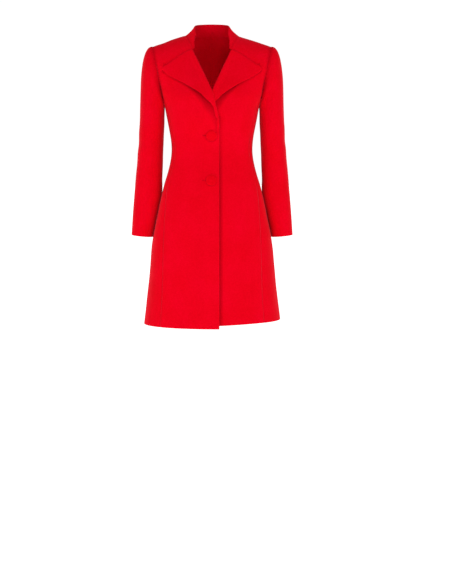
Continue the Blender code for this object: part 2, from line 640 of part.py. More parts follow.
def sleeve_rings(angles):
    """Outer points and wall directions of a whole sleeve: rings from the armhole to the cuff."""
    rings = np.arange(len(SLEEVE["egg"]))
    sizes = {name: smooth(rings, column, SLEEVE_RINGS)[:, None] for name, column in SLEEVE.items()}
    points = oval(
        angles[None, :],
        (sizes["inner_x"], sizes["inner_z"]),
        (sizes["outer_x"], sizes["outer_z"]),
        sizes["front"],
        sizes["back"],
        sizes["middle"],
        sizes["egg"],
    )
    points[0] += SLEEVE_CLEAR * unit(np.array([ARM_HIGH[1] - ARM_LOW[1], 0, ARM_LOW[0] - ARM_HIGH[0]]))
    closed = np.concatenate([points[:, -2:-1], points, points[:, 1:2]], axis=1)
    centre = points[:, :-1].mean(axis=1, keepdims=True)
    inward = grid_inward(closed, closed - centre)[:, 1:-1]
    inward[0] = armhole_inward(angles)
    return points, inward


def make_sleeve(side, cloth, collection):
    """An under sleeve below the two seams that meet the side panel's, and a top sleeve over them."""
    under = np.sort(SIDE_ANGLES)
    top = np.concatenate([FRONT_ANGLES, 360 - BACK_ANGLES[-2::-1]])
    ring = np.concatenate([under, top[1:]])
    points, inward = sleeve_rings(ring)
    last = len(under)
    for name, part in (("under", slice(0, last)), ("top", slice(last - 1, None))):
        outer, into = points[:, part].copy(), inward[:, part].copy()
        draw_back(outer, into, "first_column")
        draw_back(outer, into, "last_column")
        side_wall(f"{name}_sleeve", side, outer, into, SLEEVE_WALL, cloth, collection)


def make_button(name, height, cloth, collection):
    """A button covered in the coat's cloth: a turned profile on a short shank, square to the front."""
    seat = np.array([BUTTON_X, body_y(BUTTON_X, height, True), height])
    outward = -body_inward(seat, True)
    seat[1] -= lap(RIGHT, BUTTON_X, height)
    mesh = bpy.data.meshes.new(name)
    points = [(share * BUTTON_RADIUS, 0.0, up) for share, up in BUTTON_PROFILE]
    mesh.from_pydata(points, [(i, i + 1) for i in range(len(points) - 1)], [])
    made = piece(name, mesh, cloth, collection)
    turned = made.modifiers.new("turned", "SCREW")
    turned.steps = turned.render_steps = BUTTON_STEPS
    turned.use_merge_vertices = True
    turned.merge_threshold = SAME
    turned.use_normal_flip = True
    out = Vector(on_side(outward, RIGHT))
    place = Vector(on_side(seat, RIGHT)) + out * BUTTON_SEAT
    made.matrix_world = Matrix.Translation(place) @ out.to_track_quat("Z", "Y").to_matrix().to_4x4()


def red_wool(name, colour, roughness):
    """Full-strength red wool cloth: matt, with no metal in it."""
    material = bpy.data.materials.new(name)
    material.use_nodes = True
    shader = material.node_tree.nodes["Principled BSDF"]
    shader.inputs["Base Color"].default_value = (*colour, 1)
    shader.inputs["Roughness"].default_value = roughness
    shader.inputs["Metallic"].default_value = 0.0
    return material


def build():
    for old in list(bpy.data.objects):
        bpy.data.objects.remove(old)
    coat = bpy.data.collections.new("coat")
    bpy.context.scene.collection.children.link(coat)
    cloth = red_wool("red_wool", (0.80, 0.002, 0.008), 0.85)
    facing = red_wool("red_wool_facing", (0.74, 0.002, 0.008), 0.85)
    button_cloth = red_wool("red_wool_button", (0.76, 0.002, 0.008), 0.80)
    for side in (RIGHT, LEFT):
        make_front(side, cloth, coat)
        make_side(side, cloth, coat)
        make_back(side, cloth, coat)
        make_lapel(side, facing, coat)
        make_sleeve(side, cloth, coat)
    make_collar(facing, coat)
    for name, height in BUTTON_HEIGHTS.items():
        make_button(name, height, button_cloth, coat)


build()
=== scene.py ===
"""A single-breasted coat of milled red wool in its worn shape: its cloth, seams, soft roll and buttons."""

import math

import bpy
import numpy as np
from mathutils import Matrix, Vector
from mathutils.bvhtree import BVHTree


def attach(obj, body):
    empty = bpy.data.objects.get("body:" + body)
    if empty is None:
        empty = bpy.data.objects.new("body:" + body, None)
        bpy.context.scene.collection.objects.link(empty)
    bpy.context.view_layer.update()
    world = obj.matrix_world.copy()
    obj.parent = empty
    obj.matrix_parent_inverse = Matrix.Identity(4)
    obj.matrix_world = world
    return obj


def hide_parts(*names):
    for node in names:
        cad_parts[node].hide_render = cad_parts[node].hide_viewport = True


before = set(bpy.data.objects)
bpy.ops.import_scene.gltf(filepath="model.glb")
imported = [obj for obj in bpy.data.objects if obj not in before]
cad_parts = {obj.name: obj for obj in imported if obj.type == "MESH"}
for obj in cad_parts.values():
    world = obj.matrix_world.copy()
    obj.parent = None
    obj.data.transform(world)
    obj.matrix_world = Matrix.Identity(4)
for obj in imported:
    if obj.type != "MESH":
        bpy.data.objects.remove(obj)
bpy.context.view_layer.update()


# ------------------------------------------------------------------ the coating
# Milled wool coating: a woven wool that is shrunk and felted until its fibres hide the weave, then cropped. It
# gives the eye a matt, saturated red with a faint mottle, and a soft pale rim where the nap is seen edge on. The
# nap's real 0.4 mm wouldn't show, so it is drawn coarser.

def linear(colour):
    """The linear colour of an sRGB hex value."""
    parts = [int(colour[i : i + 2], 16) / 255 for i in (1, 3, 5)]
    return (*[part / 12.92 if part <= 0.04045 else ((part + 0.055) / 1.055) ** 2.4 for part in parts], 1)


def feed(tree, node, inputs):
    """Fills a node's inputs; each takes a value or the socket that feeds it."""
    for name, value in inputs.items():
        if isinstance(value, bpy.types.NodeSocket):
            tree.links.new(value, node.inputs[name])
        else:
            node.inputs[name].default_value = value


def add(tree, kind, inputs=None, **settings):
    """Adds a node with its settings and inputs."""
    made = tree.nodes.new(kind)
    for name, value in settings.items():
        setattr(made, name, value)
    feed(tree, made, inputs or {})
    return made


MOTTLE, MILLING = 190, 14  # patches of about 5 mm and 70 mm


def milled_wool(name, deep, mid, bright, nap_mm=1.5, bump=0.35):
    """Felted wool in three close tones, with a nap of the given size; painted shade darkens it where a mesh's
    attribute says.
    """
    material = bpy.data.materials.new(name)
    material.use_nodes = True
    tree = material.node_tree
    place = add(tree, "ShaderNodeTexCoord").outputs["Object"]
    nap_and_shade = add(tree, "ShaderNodeTexNoise", {"Vector": place, "Scale": 1000 / nap_mm, "Detail": 4, "Roughness": 0.65})
    mottle = add(tree, "ShaderNodeTexNoise", {"Vector": place, "Scale": MOTTLE, "Detail": 3, "Roughness": 0.6})
    milling = add(tree, "ShaderNodeTexNoise", {"Vector": place, "Scale": MILLING, "Detail": 2})
    tone = add(tree, "ShaderNodeMath", {0: mottle.outputs["Fac"], 1: 0.55}, operation="MULTIPLY")
    for pattern, amount in ((milling, 0.30), (nap_and_shade, 0.15)):
        part = {0: pattern.outputs["Fac"], 1: amount, 2: tone.outputs[0]}
        tone = add(tree, "ShaderNodeMath", part, operation="MULTIPLY_ADD")
    ramp = add(tree, "ShaderNodeValToRGB", {"Fac": tone.outputs[0]})
    ramp.color_ramp.elements[0].position, ramp.color_ramp.elements[0].color = 0.34, linear(deep)
    ramp.color_ramp.elements[1].position, ramp.color_ramp.elements[1].color = 0.66, linear(bright)
    ramp.color_ramp.elements.new(0.5).color = linear(mid)
    both = {0: mottle.outputs["Fac"], 1: 0.6, 2: nap_and_shade.outputs["Fac"]}
    height = add(tree, "ShaderNodeMath", both, operation="MULTIPLY_ADD")
    relief = add(tree, "ShaderNodeBump", {"Height": height.outputs[0], "Strength": bump, "Distance": 0.0006})
    # painted shade: the mesh's attribute mixes a dark red into the colour where shade falls
    painted_shade = add(tree, "ShaderNodeAttribute", attribute_name="painted_shade").outputs["Fac"]
    flat = linear("#7C0009")  # the dark red of the painted shade
    colour = add(tree, "ShaderNodeMix", {"Factor": painted_shade, 6: ramp.outputs["Color"], 7: flat}, data_type="RGBA")
    feed(tree, tree.nodes["Principled BSDF"], {
        "Base Color": colour.outputs[2], "Normal": relief.outputs["Normal"],
        "Roughness": 0.88, "Specular IOR Level": 0.02,
        "Sheen Weight": 0.70, "Sheen Roughness": 0.35, "Sheen Tint": linear("#FF5A68"),
    })
    return material


coating = milled_wool("milled_red_wool", "#E90014", "#F0001B", "#F60024")


# ------------------------------------------------------------------ side panels
# The wearer's side panels, cut in one from the underarm to the hem. The wool is 2.2 mm thick with its backing,
# its edges are pressed into the seams, and 36 mm at the hem is turned up inside.

RIGHT, LEFT = -1, 1  # the wearer's sides, as the sign of X
SIDES = {RIGHT: "right", LEFT: "left"}
WALL = 0.0022
RING_POWER, SLEEVE_POWER = 2.3, 2.2
HEM = {RIGHT: (-0.9395, -0.9385), LEFT: (-0.9300, -0.9245)}  # at the front edge and at the side seam
HEM_TURN = 0.036
SEAM_EDGE, ARM_EDGE = 0.0007, 0.0003  # how far the middle of the cloth ends from a seam, and from the armhole
CLEAR = 0.0002  # air between cloth and cloth
ARM_LOW, ARM_HIGH = (0.1544, -0.2230), (0.1924, -0.0280)
ARM_FRONT, ARM_BACK, ARM_EGG = 0.058, 0.070, 1.12
FRONT_MEET, BACK_MEET = 52.5, 74.5
LOW_ROWS = 21


def columns_of(names, *rows):
    return {name: np.array(column) for name, column in zip(names.split(), zip(*rows))}


BODY = columns_of(
    "height half_width front_depth back_depth front_seam back_seam",
    (-0.945, 0.2310, 0.1600, 0.1720, 0.1715, 0.1650),
    (-0.810, 0.2140, 0.1500, 0.1600, 0.1635, 0.1500),
    (-0.660, 0.1985, 0.1380, 0.1460, 0.1600, 0.1380),
    (-0.574, 0.1808, 0.1300, 0.1360, 0.1560, 0.1250),
    (-0.488, 0.1618, 0.1180, 0.1200, 0.1485, 0.1100),
    (-0.422, 0.1420, 0.1060, 0.1000, 0.1330, 0.0980),
    (-0.385, 0.1347, 0.1005, 0.0880, 0.1245, 0.0930),
    (-0.353, 0.1335, 0.0990, 0.0840, 0.1220, 0.0920),
    (-0.300, 0.1405, 0.1120, 0.0920, 0.1300, 0.1120),
    (-0.244, 0.1510, 0.1260, 0.1030, 0.1425, 0.1330),
    (-0.223, 0.1544, 0.1270, 0.1060, 0.1472, 0.1370),
    (-0.195, 0.1544, 0.1250, 0.1080, 0.1599, 0.1552),
    (-0.165, 0.1544, 0.1220, 0.1100, 0.1661, 0.1661),
)


def in_scene(name, data):
    """An object of the given mesh, light or camera, placed in the scene."""
    made = bpy.data.objects.new(name, data)
    bpy.context.scene.collection.objects.link(made)
    return made


def smooth(keys, values, at):
    """A curve through the values that never overshoots them, read at some keys; straight past the ends."""
    keys, values, at = (np.asarray(given, float) for given in (keys, values, at))
    step = np.diff(keys)
    rise = np.diff(values) / step
    slope = np.concatenate([rise[:1], np.zeros(len(rise) - 1), rise[-1:]])
    same = rise[:-1] * rise[1:] > 0
    slope[1:-1][same] = 2 * (rise[:-1] * rise[1:])[same] / (rise[:-1] + rise[1:])[same]
    place = np.clip(np.searchsorted(keys, at) - 1, 0, len(step) - 1)
    share = (at - keys[place]) / step[place]
    t = np.clip(share, 0, 1)
    inside = (
        values[place] * (1 + 2 * t) * (1 - t) ** 2
        + values[place + 1] * t**2 * (3 - 2 * t)
        + step[place] * (slope[place] * t * (1 - t) ** 2 + slope[place + 1] * t**2 * (t - 1))
    )
    return inside + np.where(share > 1, slope[place + 1], slope[place]) * (share - t) * step[place]


def fade(start, end, at):
    """0 at the start, 1 at the end, level at both."""
    t = np.clip((np.asarray(at, float) - start) / (end - start), 0, 1)
    return t * t * (3 - 2 * t)


def unit(vectors):
    return vectors / np.linalg.norm(vectors, axis=-1, keepdims=True)


def round_off(share):
    return np.maximum(1 - np.abs(share) ** RING_POWER, 0) ** (1 / RING_POWER)


def oval(angles, low, high, front, back, middle=0.0, egg=1.0):
    """A ring in a plane that holds the Y axis: 0 degrees at its low end, 90 in front, 180 at its high end."""
    turn = np.radians(angles)
    across, along_y = (np.sign(part) * np.abs(part) ** (2 / SLEEVE_POWER) for part in (np.cos(turn), np.sin(turn)))
    up = ((1 - across) / 2) ** egg
    y = middle - np.where(along_y > 0, front, back) * along_y
    return np.stack([low[0] + (high[0] - low[0]) * up, y, low[1] + (high[1] - low[1]) * up], axis=-1)


def armhole(angles):
    return oval(angles, ARM_LOW, ARM_HIGH, ARM_FRONT, ARM_BACK, egg=ARM_EGG)


def armhole_at(z, front):
    up = np.clip((z - ARM_LOW[1]) / (ARM_HIGH[1] - ARM_LOW[1]), 0, 1)
    across = 1 - 2 * up ** (1 / ARM_EGG)
    reach = np.maximum(1 - np.abs(across) ** SLEEVE_POWER, 0) ** (1 / SLEEVE_POWER)
    return ARM_LOW[0] + (ARM_HIGH[0] - ARM_LOW[0]) * up, (ARM_FRONT if front else ARM_BACK) * reach


def body_size(z, front):
    depth = smooth(BODY["height"], BODY["front_depth" if front else "back_depth"], z)
    arm_x, arm_y = armhole_at(z, front)
    half = np.where(z > ARM_LOW[1], arm_x / round_off(arm_y / depth), smooth(BODY["height"], BODY["half_width"], z))
    return half, depth


def seam_x(z, front):
    meet = armhole(FRONT_MEET if front else BACK_MEET)[2]
    column = smooth(BODY["height"], BODY["front_seam" if front else "back_seam"], z)
    arm_x = armhole_at(z, front)[0]
    return np.where(z >= meet - 1e-5, arm_x, np.where(z > ARM_LOW[1], np.minimum(column, arm_x), column))


def body_y(x, z, front):
    half, depth = body_size(z, front)
    return (-1 if front else 1) * depth * round_off(x / half)


def body_x(y, z):
    """How far out the coat's body reaches at some depth and height."""
    half, depth = (np.where(y < 0, front, back) for front, back in zip(body_size(z, True), body_size(z, False)))
    return half * round_off(y / depth)


def row_heights(hem, top):
    share = np.linspace(0, 1, LOW_ROWS)
    share = share * (1.35 - 0.35 * share)
    return hem + (top - hem) * share[:, None]


def spline(count, at):
    """The weights that carry a row of values onto a smooth curve through them, read at places along it."""
    bend = np.eye(count) * 4 / 6 + np.eye(count, k=1) / 6 + np.eye(count, k=-1) / 6
    bend[0], bend[-1] = 0, 0
    bend[0, :2], bend[-1, -2:] = (1, -1), (-1, 1)
    second = np.zeros((count, count))
    for i in range(1, count - 1):
        second[i, i - 1 : i + 2] = 1, -2, 1
    curve = np.linalg.solve(bend, second)
    at = np.asarray(at, float)
    low = np.clip(np.floor(at).astype(int), 0, count - 2)
    t = (at - low)[:, None]
    value = np.eye(count)
    return (
        value[low] * (1 - t) + value[low + 1] * t
        + curve[low] * ((1 - t) ** 3 - (1 - t)) / 6 + curve[low + 1] * (t**3 - t) / 6
    )


def redraw(grid, rows, columns):
    """A coarse grid of points drawn again as finely as asked."""
    return np.einsum("ai,bj,ijk->abk", spline(grid.shape[0], rows), spline(grid.shape[1], columns), grid)


def grid_quads(rows, columns):
    """The corners of each face of a grid of points."""
    index = np.arange(rows * columns).reshape(rows, columns)
    return np.stack([index[:-1, :-1], index[:-1, 1:], index[1:, 1:], index[1:, :-1]], axis=-1)


def places(grid, axis, spacing=0.006, more=()):
    """Places along a grid's rows or columns about as far apart as asked, and closer at its two edges."""
    steps = np.linalg.norm(np.diff(grid, axis=axis), axis=-1).mean(axis=1 - axis)
    reach = np.concatenate([[0], np.cumsum(steps)])
    even = np.linspace(0, reach[-1], max(round(reach[-1] / spacing), 2) + 1)
    near = np.array([0.0015, 0.0035])
    marks = np.interp(np.concatenate([even, near, reach[-1] - near]), reach, np.arange(len(reach)))
    marks = np.unique(np.concatenate([marks, more]))
    return marks[np.concatenate([[True], np.diff(marks) > 0.004])]


def grid_out(points, turned):
    """The directions square to a grid, out of the coat."""
    square = unit(np.cross(np.gradient(points, axis=1, edge_order=2), np.gradient(points, axis=0, edge_order=2)))
    return -square if turned else square


def draw_back(points, out, edge, amount):
    """Moves one edge of a grid back from its seam, square to it."""
    line, inside = (0, 2) if "first" in edge else (-1, -3)
    if "column" in edge:
        line, inside = (slice(None), line), (slice(None), inside)
    square = unit(np.cross(np.gradient(points[line], axis=0), out[line]))
    away = np.sum(square * (points[inside] - points[line]), axis=-1, keepdims=True)
    points[line] += np.where(away < 0, -square, square) * np.reshape(amount, (-1, 1))


def from_edge(points, edge):
    """Every point's distance along the grid from one of its edges."""
    axis = 0 if "row" in edge else 1
    steps = np.linalg.norm(np.diff(points, axis=axis), axis=-1)
    start = np.zeros_like(np.take(steps, [0], axis))
    reach = np.concatenate([start, np.cumsum(steps, axis=axis)], axis=axis)
    return reach if "first" in edge else np.take(reach, [-1], axis) - reach


WAVES = np.random.RandomState(11)
WAVE_TURNS = unit(WAVES.normal(size=(26, 3))) * (2 * np.pi / WAVES.uniform(0.045, 0.130, 26))[:, None]
WAVE_STARTS = WAVES.uniform(0, 2 * np.pi, 26)


def drape(points, side):
    """How far the worn cloth stands off its smooth form: a slight unevenness, and soft flutes toward the hem."""
    points = points * (side, 1, 1)
    uneven = np.sin(points @ WAVE_TURNS.T + WAVE_STARTS).sum(axis=-1) * 0.00007
    x, y, z = np.moveaxis(points, -1, 0)
    turn = np.arctan2(x, -y)
    flute = 0.55 * np.sin(6 * turn + 0.9) + 0.45 * np.sin(9 * turn + 2.6 + 2 * z) + 0.3 * np.sin(4 * turn - 1)
    return uneven + 0.0016 * flute * fade(-0.52, -0.95, z) * fade(0.02, 0.10, np.abs(x))


def press(points, out, *edges, width=0.009, depth=0.0009):
    """Sinks the cloth along its pressed seams."""
    for edge in edges:
        points -= out * (depth * (1 - fade(0, width, from_edge(points, edge))))[..., None]


def sink_at_armhole(points, edge):
    """Body and sleeve dip together toward the armhole seam, between the underarm and the shoulder."""
    toward = unit((armhole(0.0) + armhole(180.0)) / 2 - points)
    depth = 0.0004 + 0.0026 * fade(-0.215, -0.170, points[..., 2]) * (1 - fade(-0.110, -0.050, points[..., 2]))
    points += toward * (depth * (1 - fade(0, 0.015, from_edge(points, edge))))[..., None]


FOLD_ROWS = 5


def turned_up(middle, out, thick):
    """Rows before a grid's first row: a fold round the hem, and the allowance that lies flat inside it."""
    radius = thick / 2 + CLEAR
    down = unit(middle[0] - middle[1])
    turns = np.radians(np.linspace(150, 30, FOLD_ROWS))[:, None, None]
    fold = middle[0] - out[0] * radius * (1 - np.cos(turns)) + down * radius * np.sin(turns)
    rows = int(np.searchsorted(from_edge(middle, "first_row").mean(axis=1), HEM_TURN))
    inside = (middle - out * 2 * radius)[rows::-1]
    return np.concatenate([inside, fold, middle])


def sewn_sheet(name, middle, thick, turned, material, faces=None, painted_shade=-1.0):
    """A sheet of cloth with round edges, half its thickness each way from the middle.

    Its outer face holds the painted shade, as an attribute.
    """
    rows, columns = middle.shape[:2]
    if faces is None:
        faces = np.ones((rows - 1, columns - 1), bool)
    quads = grid_quads(rows, columns)[faces]
    if turned:
        quads = quads[:, ::-1]
    used, quads = np.unique(quads, return_inverse=True)
    quads = quads.reshape(-1, 4)
    points = middle.reshape(-1, 3)[used]
    half = (np.broadcast_to(thick, (rows, columns)).reshape(-1)[used] / 2)[:, None]
    corners = points[quads]
    square = np.cross(corners[:, 2] - corners[:, 0], corners[:, 3] - corners[:, 1])
    normal = np.zeros_like(points)
    for i in range(4):
        np.add.at(normal, quads[:, i], square)
    normal = unit(normal)
    count = len(points)
    start, end = quads.ravel(), np.roll(quads, -1, axis=1).ravel()
    border = ~np.isin(start * count + end, end * count + start)
    onward = dict(zip(start[border].tolist(), end[border].tolist()))
    loop = [int(start[border][0])]
    while onward[loop[-1]] != loop[0]:
        loop.append(onward[loop[-1]])
    loop = np.array(loop)
    away = unit(np.cross(points[np.roll(loop, -1)] - points[np.roll(loop, 1)], normal[loop]))
    turns = np.radians((45, 90, 135))
    edge = [points[loop] + (normal[loop] * math.cos(a) + away * math.sin(a)) * half[loop] for a in turns]
    rings = [loop, *[2 * count + i * len(loop) + np.arange(len(loop)) for i in range(3)], loop + count]
    strips = [np.stack([np.roll(a, -1), a, b, np.roll(b, -1)], axis=-1) for a, b in zip(rings, rings[1:])]
    mesh = bpy.data.meshes.new(name)
    everything = np.concatenate([points + normal * half, points - normal * half, *edge])
    mesh.from_pydata(everything.tolist(), [], np.concatenate([quads, quads[:, ::-1] + count, *strips]).tolist())
    # painted shade on the outer face and the rims, none on the inner face
    flat = np.broadcast_to(painted_shade, (rows, columns)).reshape(-1)[used]
    nap_and_shade = mesh.attributes.new("painted_shade", "FLOAT", "POINT")
    nap_and_shade.data.foreach_set("value", np.concatenate([flat, np.full(count, -1), *([flat[loop]] * 3)]).astype(np.float32))
    mesh.shade_smooth()
    mesh.materials.append(material)
    return in_scene(name, mesh)


def shade_line(distance, width, strength):
    """How dark the painted shade is along a line; it falls below 0 past the given width."""
    return strength * np.maximum(1 - distance / width, -2)


def shade_along_edges(points, *edges, width=0.005, strength=0.12):
    """Painted shade along a grid's edges, in the valleys of its seams."""
    return np.max([shade_line(from_edge(points, edge), width, strength) for edge in edges], axis=0)


def shade_at_armhole(points, edge, low_width=0.009):
    """Painted shade along the armhole seam, darkest low on it, but for the underarm."""
    low = fade(-0.110, -0.165, points[..., 2])
    above_underarm = fade(-0.225, -0.190, points[..., 2])
    width = 0.009 + (low_width - 0.009) * low
    return shade_along_edges(points, edge, width=width, strength=0.30 + 0.42 * low * above_underarm)


def wear(piece, flat, area, *nodes):
    """Hangs a sheet of the coat on the body's root and hides the solids that it stands for."""
    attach(piece, "root")
    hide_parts(*nodes)


def hemmed(points, out, nap_and_shade, side):
    """A panel's middle points with its hem turned up, and its painted shade, on the wearer's side."""
    middle = turned_up(points - out * WALL / 2, out, WALL)
    return middle * (side, 1, 1), np.pad(nap_and_shade, ((len(middle) - len(nap_and_shade), 0), (0, 0)), constant_values=-1)


POCKET_MIDDLE, POCKET_HALF = -0.545, 0.075


def mouth(z):
    """1 along a pocket's mouth in the front seam, 0 past its ends."""
    return 1 - fade(0.75, 1.0, np.abs(z - POCKET_MIDDLE) / POCKET_HALF)


def side_panel(side):
    angles = np.linspace(FRONT_MEET, -BACK_MEET, 10)
    top = armhole(angles)
    z = row_heights(HEM[side][1], top[:, 2])
    front_y, back_y = body_y(seam_x(z, True), z, True), body_y(seam_x(z, False), z, False)
    even = np.linspace(0, 1, 10)
    at_top = (top[:, 1] - front_y[-1]) / (back_y[-1] - front_y[-1])
    y = front_y + (back_y - front_y) * (even + (at_top - even) * np.linspace(0, 1, LOW_ROWS)[:, None] ** 3)
    coarse = np.stack([body_x(y, z), y, z], axis=-1)
    points = redraw(coarse, places(coarse, 0), places(coarse, 1))
    out = grid_out(points, False)
    points += out * drape(points, side)[..., None]
    press(points, out, "first_column", "last_column")
    sink_at_armhole(points, "last_row")
    draw_back(points, out, "first_row", WALL + CLEAR)
    draw_back(points, out, "first_column", SEAM_EDGE + 0.0003 * mouth(points[:, 0, 2]))
    draw_back(points, out, "last_column", SEAM_EDGE)
    draw_back(points, out, "last_row", ARM_EDGE)
    # painted shade along the seams and the armhole
    nap_and_shade = np.maximum(shade_along_edges(points, "first_column", "last_column"), shade_at_armhole(points, "last_row"))
    return hemmed(points, out, nap_and_shade, side)


for side, word in SIDES.items():
    middle, nap_and_shade = side_panel(side)
    panel = sewn_sheet(f"side_panel_{word}", middle, WALL, side == RIGHT, coating, painted_shade=nap_and_shade)
    wear(panel, (0.290, 0.850), 0.162, f"side_{word}")


# ------------------------------------------------------------------ backs
# Two back panels, joined down the middle from the neck to the hem and to the side panels. They are the same wool,
# pressed open at the seams and turned up at the hem.

HEM_BACK = -0.9340
ARM_STEPS = 5
BACK_ROWS = columns_of(
    "angle x y z reach",
    (60.0, 0.0, 0.1090, -0.1900, 0.185),
    (74.5, 0.0, 0.1100, -0.1650, 0.1972),
    (95.0, 0.0, 0.1070, -0.1100, 0.205),
    (115.0, 0.0, 0.0980, -0.0550, 0.215),
    (135.0, 0.0, 0.0790, 0.0080, 0.225),
    (152.0, 0.0450, 0.0670, 0.0090, 0.232),
    (167.0, 0.0770, 0.0350, 0.0085, 0.236),
    (180.0, 0.0880, 0.0000, 0.0060, 0.240),
)
BACK_NECK = 135.0
BACK_ANGLES = np.concatenate([np.linspace(BACK_MEET, BACK_NECK, ARM_STEPS + 1), np.linspace(BACK_NECK, 180, 5)[1:]])
NECK_ROW = LOW_ROWS + ARM_STEPS - 1


def top_rows(table, angles, columns):
    """Rows from the roll line or the neckline to the armhole, each bent by an oval."""
    start = np.stack([smooth(table["angle"], table[name], angles) for name in "xyz"], axis=-1)
    reach = smooth(table["angle"], table["reach"], angles)[:, None]
    end = armhole(np.where(table is BACK_ROWS, -1, 1) * angles)
    share = np.broadcast_to(columns, (len(angles), len(columns)))
    (start_x, start_y, start_z), (end_x, end_y, end_z) = start.T[..., None], end.T[..., None]
    x = start_x + (end_x - start_x) * share
    low, high = round_off(start_x / reach), round_off(end_x / reach)
    y = start_y + (end_y - start_y) * (low - round_off(x / reach)) / (low - high)
    crown = 0.001 * fade(130, 180, angles)[:, None] * 4 * share * (1 - share)
    return np.stack([x, y, start_z + (end_z - start_z) * share + crown], axis=-1)


def back_panel(side):
    across = 1 - (1 - np.linspace(0, 1, 9)) ** 1.6
    z = row_heights(HEM_BACK + (HEM[side][1] - HEM_BACK) * fade(0, 1, across), armhole(-BACK_MEET)[2])
    x = seam_x(z, False) * across
    low = np.stack([x, body_y(x, z, False), z], axis=-1)
    coarse = np.concatenate([low, top_rows(BACK_ROWS, BACK_ANGLES[1:], across)])
    rows = places(coarse, 0, more=(LOW_ROWS - 1, NECK_ROW))
    arm, neck = (int(np.abs(rows - row).argmin()) for row in (LOW_ROWS - 1, NECK_ROW))
    points = redraw(coarse, rows, places(coarse, 1))
    lower = points[: neck + 1]  # below the neckline
    lower[..., 0] -= lower[:, :1, 0] * np.exp(-lower[..., 0] / 0.03)
    out = grid_out(points, True)
    lower_out = out[: neck + 1]
    lower_out[:, 0] = unit(lower_out[:, 0] * (0, 1, 1))
    points += out * drape(points, side)[..., None]
    press(points, out, "last_row", depth=0.0005)
    press(lower, lower_out, "first_column")
    press(points[: arm + 1], out[: arm + 1], "last_column")
    sink_at_armhole(points[arm:], "last_column")
    draw_back(points, out, "first_row", WALL + CLEAR)
    draw_back(points, out, "last_row", SEAM_EDGE)
    draw_back(lower, lower_out, "first_column", SEAM_EDGE)
    draw_back(points[neck:], out[neck:], "first_column", 0.0006)
    draw_back(points[:arm], out[:arm], "last_column", SEAM_EDGE)
    draw_back(points[arm:], out[arm:], "last_column", ARM_EDGE)
    # painted shade along the seams
    nap_and_shade = shade_along_edges(points, "first_column", "last_column", "last_row", strength=0.25)
    return hemmed(points, out, nap_and_shade, side)


for side, word in SIDES.items():
    middle, nap_and_shade = back_panel(side)
    panel = sewn_sheet(f"back_panel_{word}", middle, WALL, side == LEFT, coating, painted_shade=nap_and_shade)
    wear(panel, (0.200, 1.130), 0.156, f"back_{word}")


# ------------------------------------------------------------------ fronts with their lapels
# Each front is one sheet with its lapel, which rolls back over a soft fold above the break. The right front laps
# over the left, and both are turned up at the hem.

FRONT_EDGE, BREAK = 0.023, -0.258
LAP_OUT, LAP_IN, LAP_LIFT = 0.0016, 0.0012, 0.0030
FRONT_ROWS = columns_of(
    "angle x y z reach",
    (35.0, -0.0135, -0.1265, -0.2250, 0.160),
    (52.5, -0.0075, -0.1250, -0.1950, 0.1686),
    (75.0, 0.0160, -0.1060, -0.1390, 0.176),
    (98.0, 0.0410, -0.0830, -0.0855, 0.190),
    (118.0, 0.0635, -0.0620, -0.0405, 0.205),
    (140.0, 0.0760, -0.0400, -0.0140, 0.220),
    (160.0, 0.0850, -0.0180, 0.0010, 0.230),
    (180.0, 0.0880, 0.0000, 0.0060, 0.240),
)
NOTCH = 118.0
FRONT_ANGLES = np.concatenate([np.linspace(FRONT_MEET, NOTCH, ARM_STEPS + 1), np.linspace(NOTCH, 180, 6)[1:]])
ROLL_LINE = np.array((
    (-0.0225, -0.2580), (-0.0128, -0.2220), (-0.0080, -0.1970), (0.0000, -0.1730),
    (0.0205, -0.1290), (0.0410, -0.0850), (0.0590, -0.0445),
))
LAPEL_EDGE = np.array((
    (-0.0177, -0.2540), (-0.0128, -0.2400), (0.0016, -0.2160), (0.0192, -0.2000), (0.0328, -0.1870),
    (0.0602, -0.1685), (0.0880, -0.1510), (0.1160, -0.1365), (0.1385, -0.1230), (0.1572, -0.1070),
))
LAPEL_TOP = np.array((
    (0.0590, -0.0445), (0.0793, -0.0510), (0.0980, -0.0630), (0.1200, -0.0780), (0.1390, -0.0910),
    (0.1535, -0.1000), (0.1572, -0.1070),
))
FACED = 0.0040  # the right front's edge, with its facing
UNDER_LEFT_HEM = (0.034, -0.9335)  # the right front's turned-up hem is cut away here, for the left front's hem
ARC_STEPS, LAPEL_STEPS = 8, 26
BUTTON_X, BUTTON_RADIUS = 0.002, 0.0175
BUTTON_HEIGHTS = {"button_top": -0.3165, "button_bottom": -0.4600}


def lap(side, x, z):
    """How far a front stands forward where the fronts overlap."""
    near = 1 - fade(0.030, 0.110, x)
    low = 1 - fade(-0.130, -0.070, z)
    if side == LEFT:
        return -LAP_IN * near * low
    over_lapel = fade(-0.315, -0.265, z) * (1 - fade(-0.150, -0.100, z))
    return (LAP_OUT * low + LAP_LIFT * over_lapel) * near


def along(points, shares):
    """Points of a line, at shares of its length."""
    lengths = np.concatenate([[0], np.cumsum(np.linalg.norm(np.diff(points, axis=0), axis=1))])
    return np.stack([smooth(lengths / lengths[-1], column, shares) for column in points.T], axis=-1)


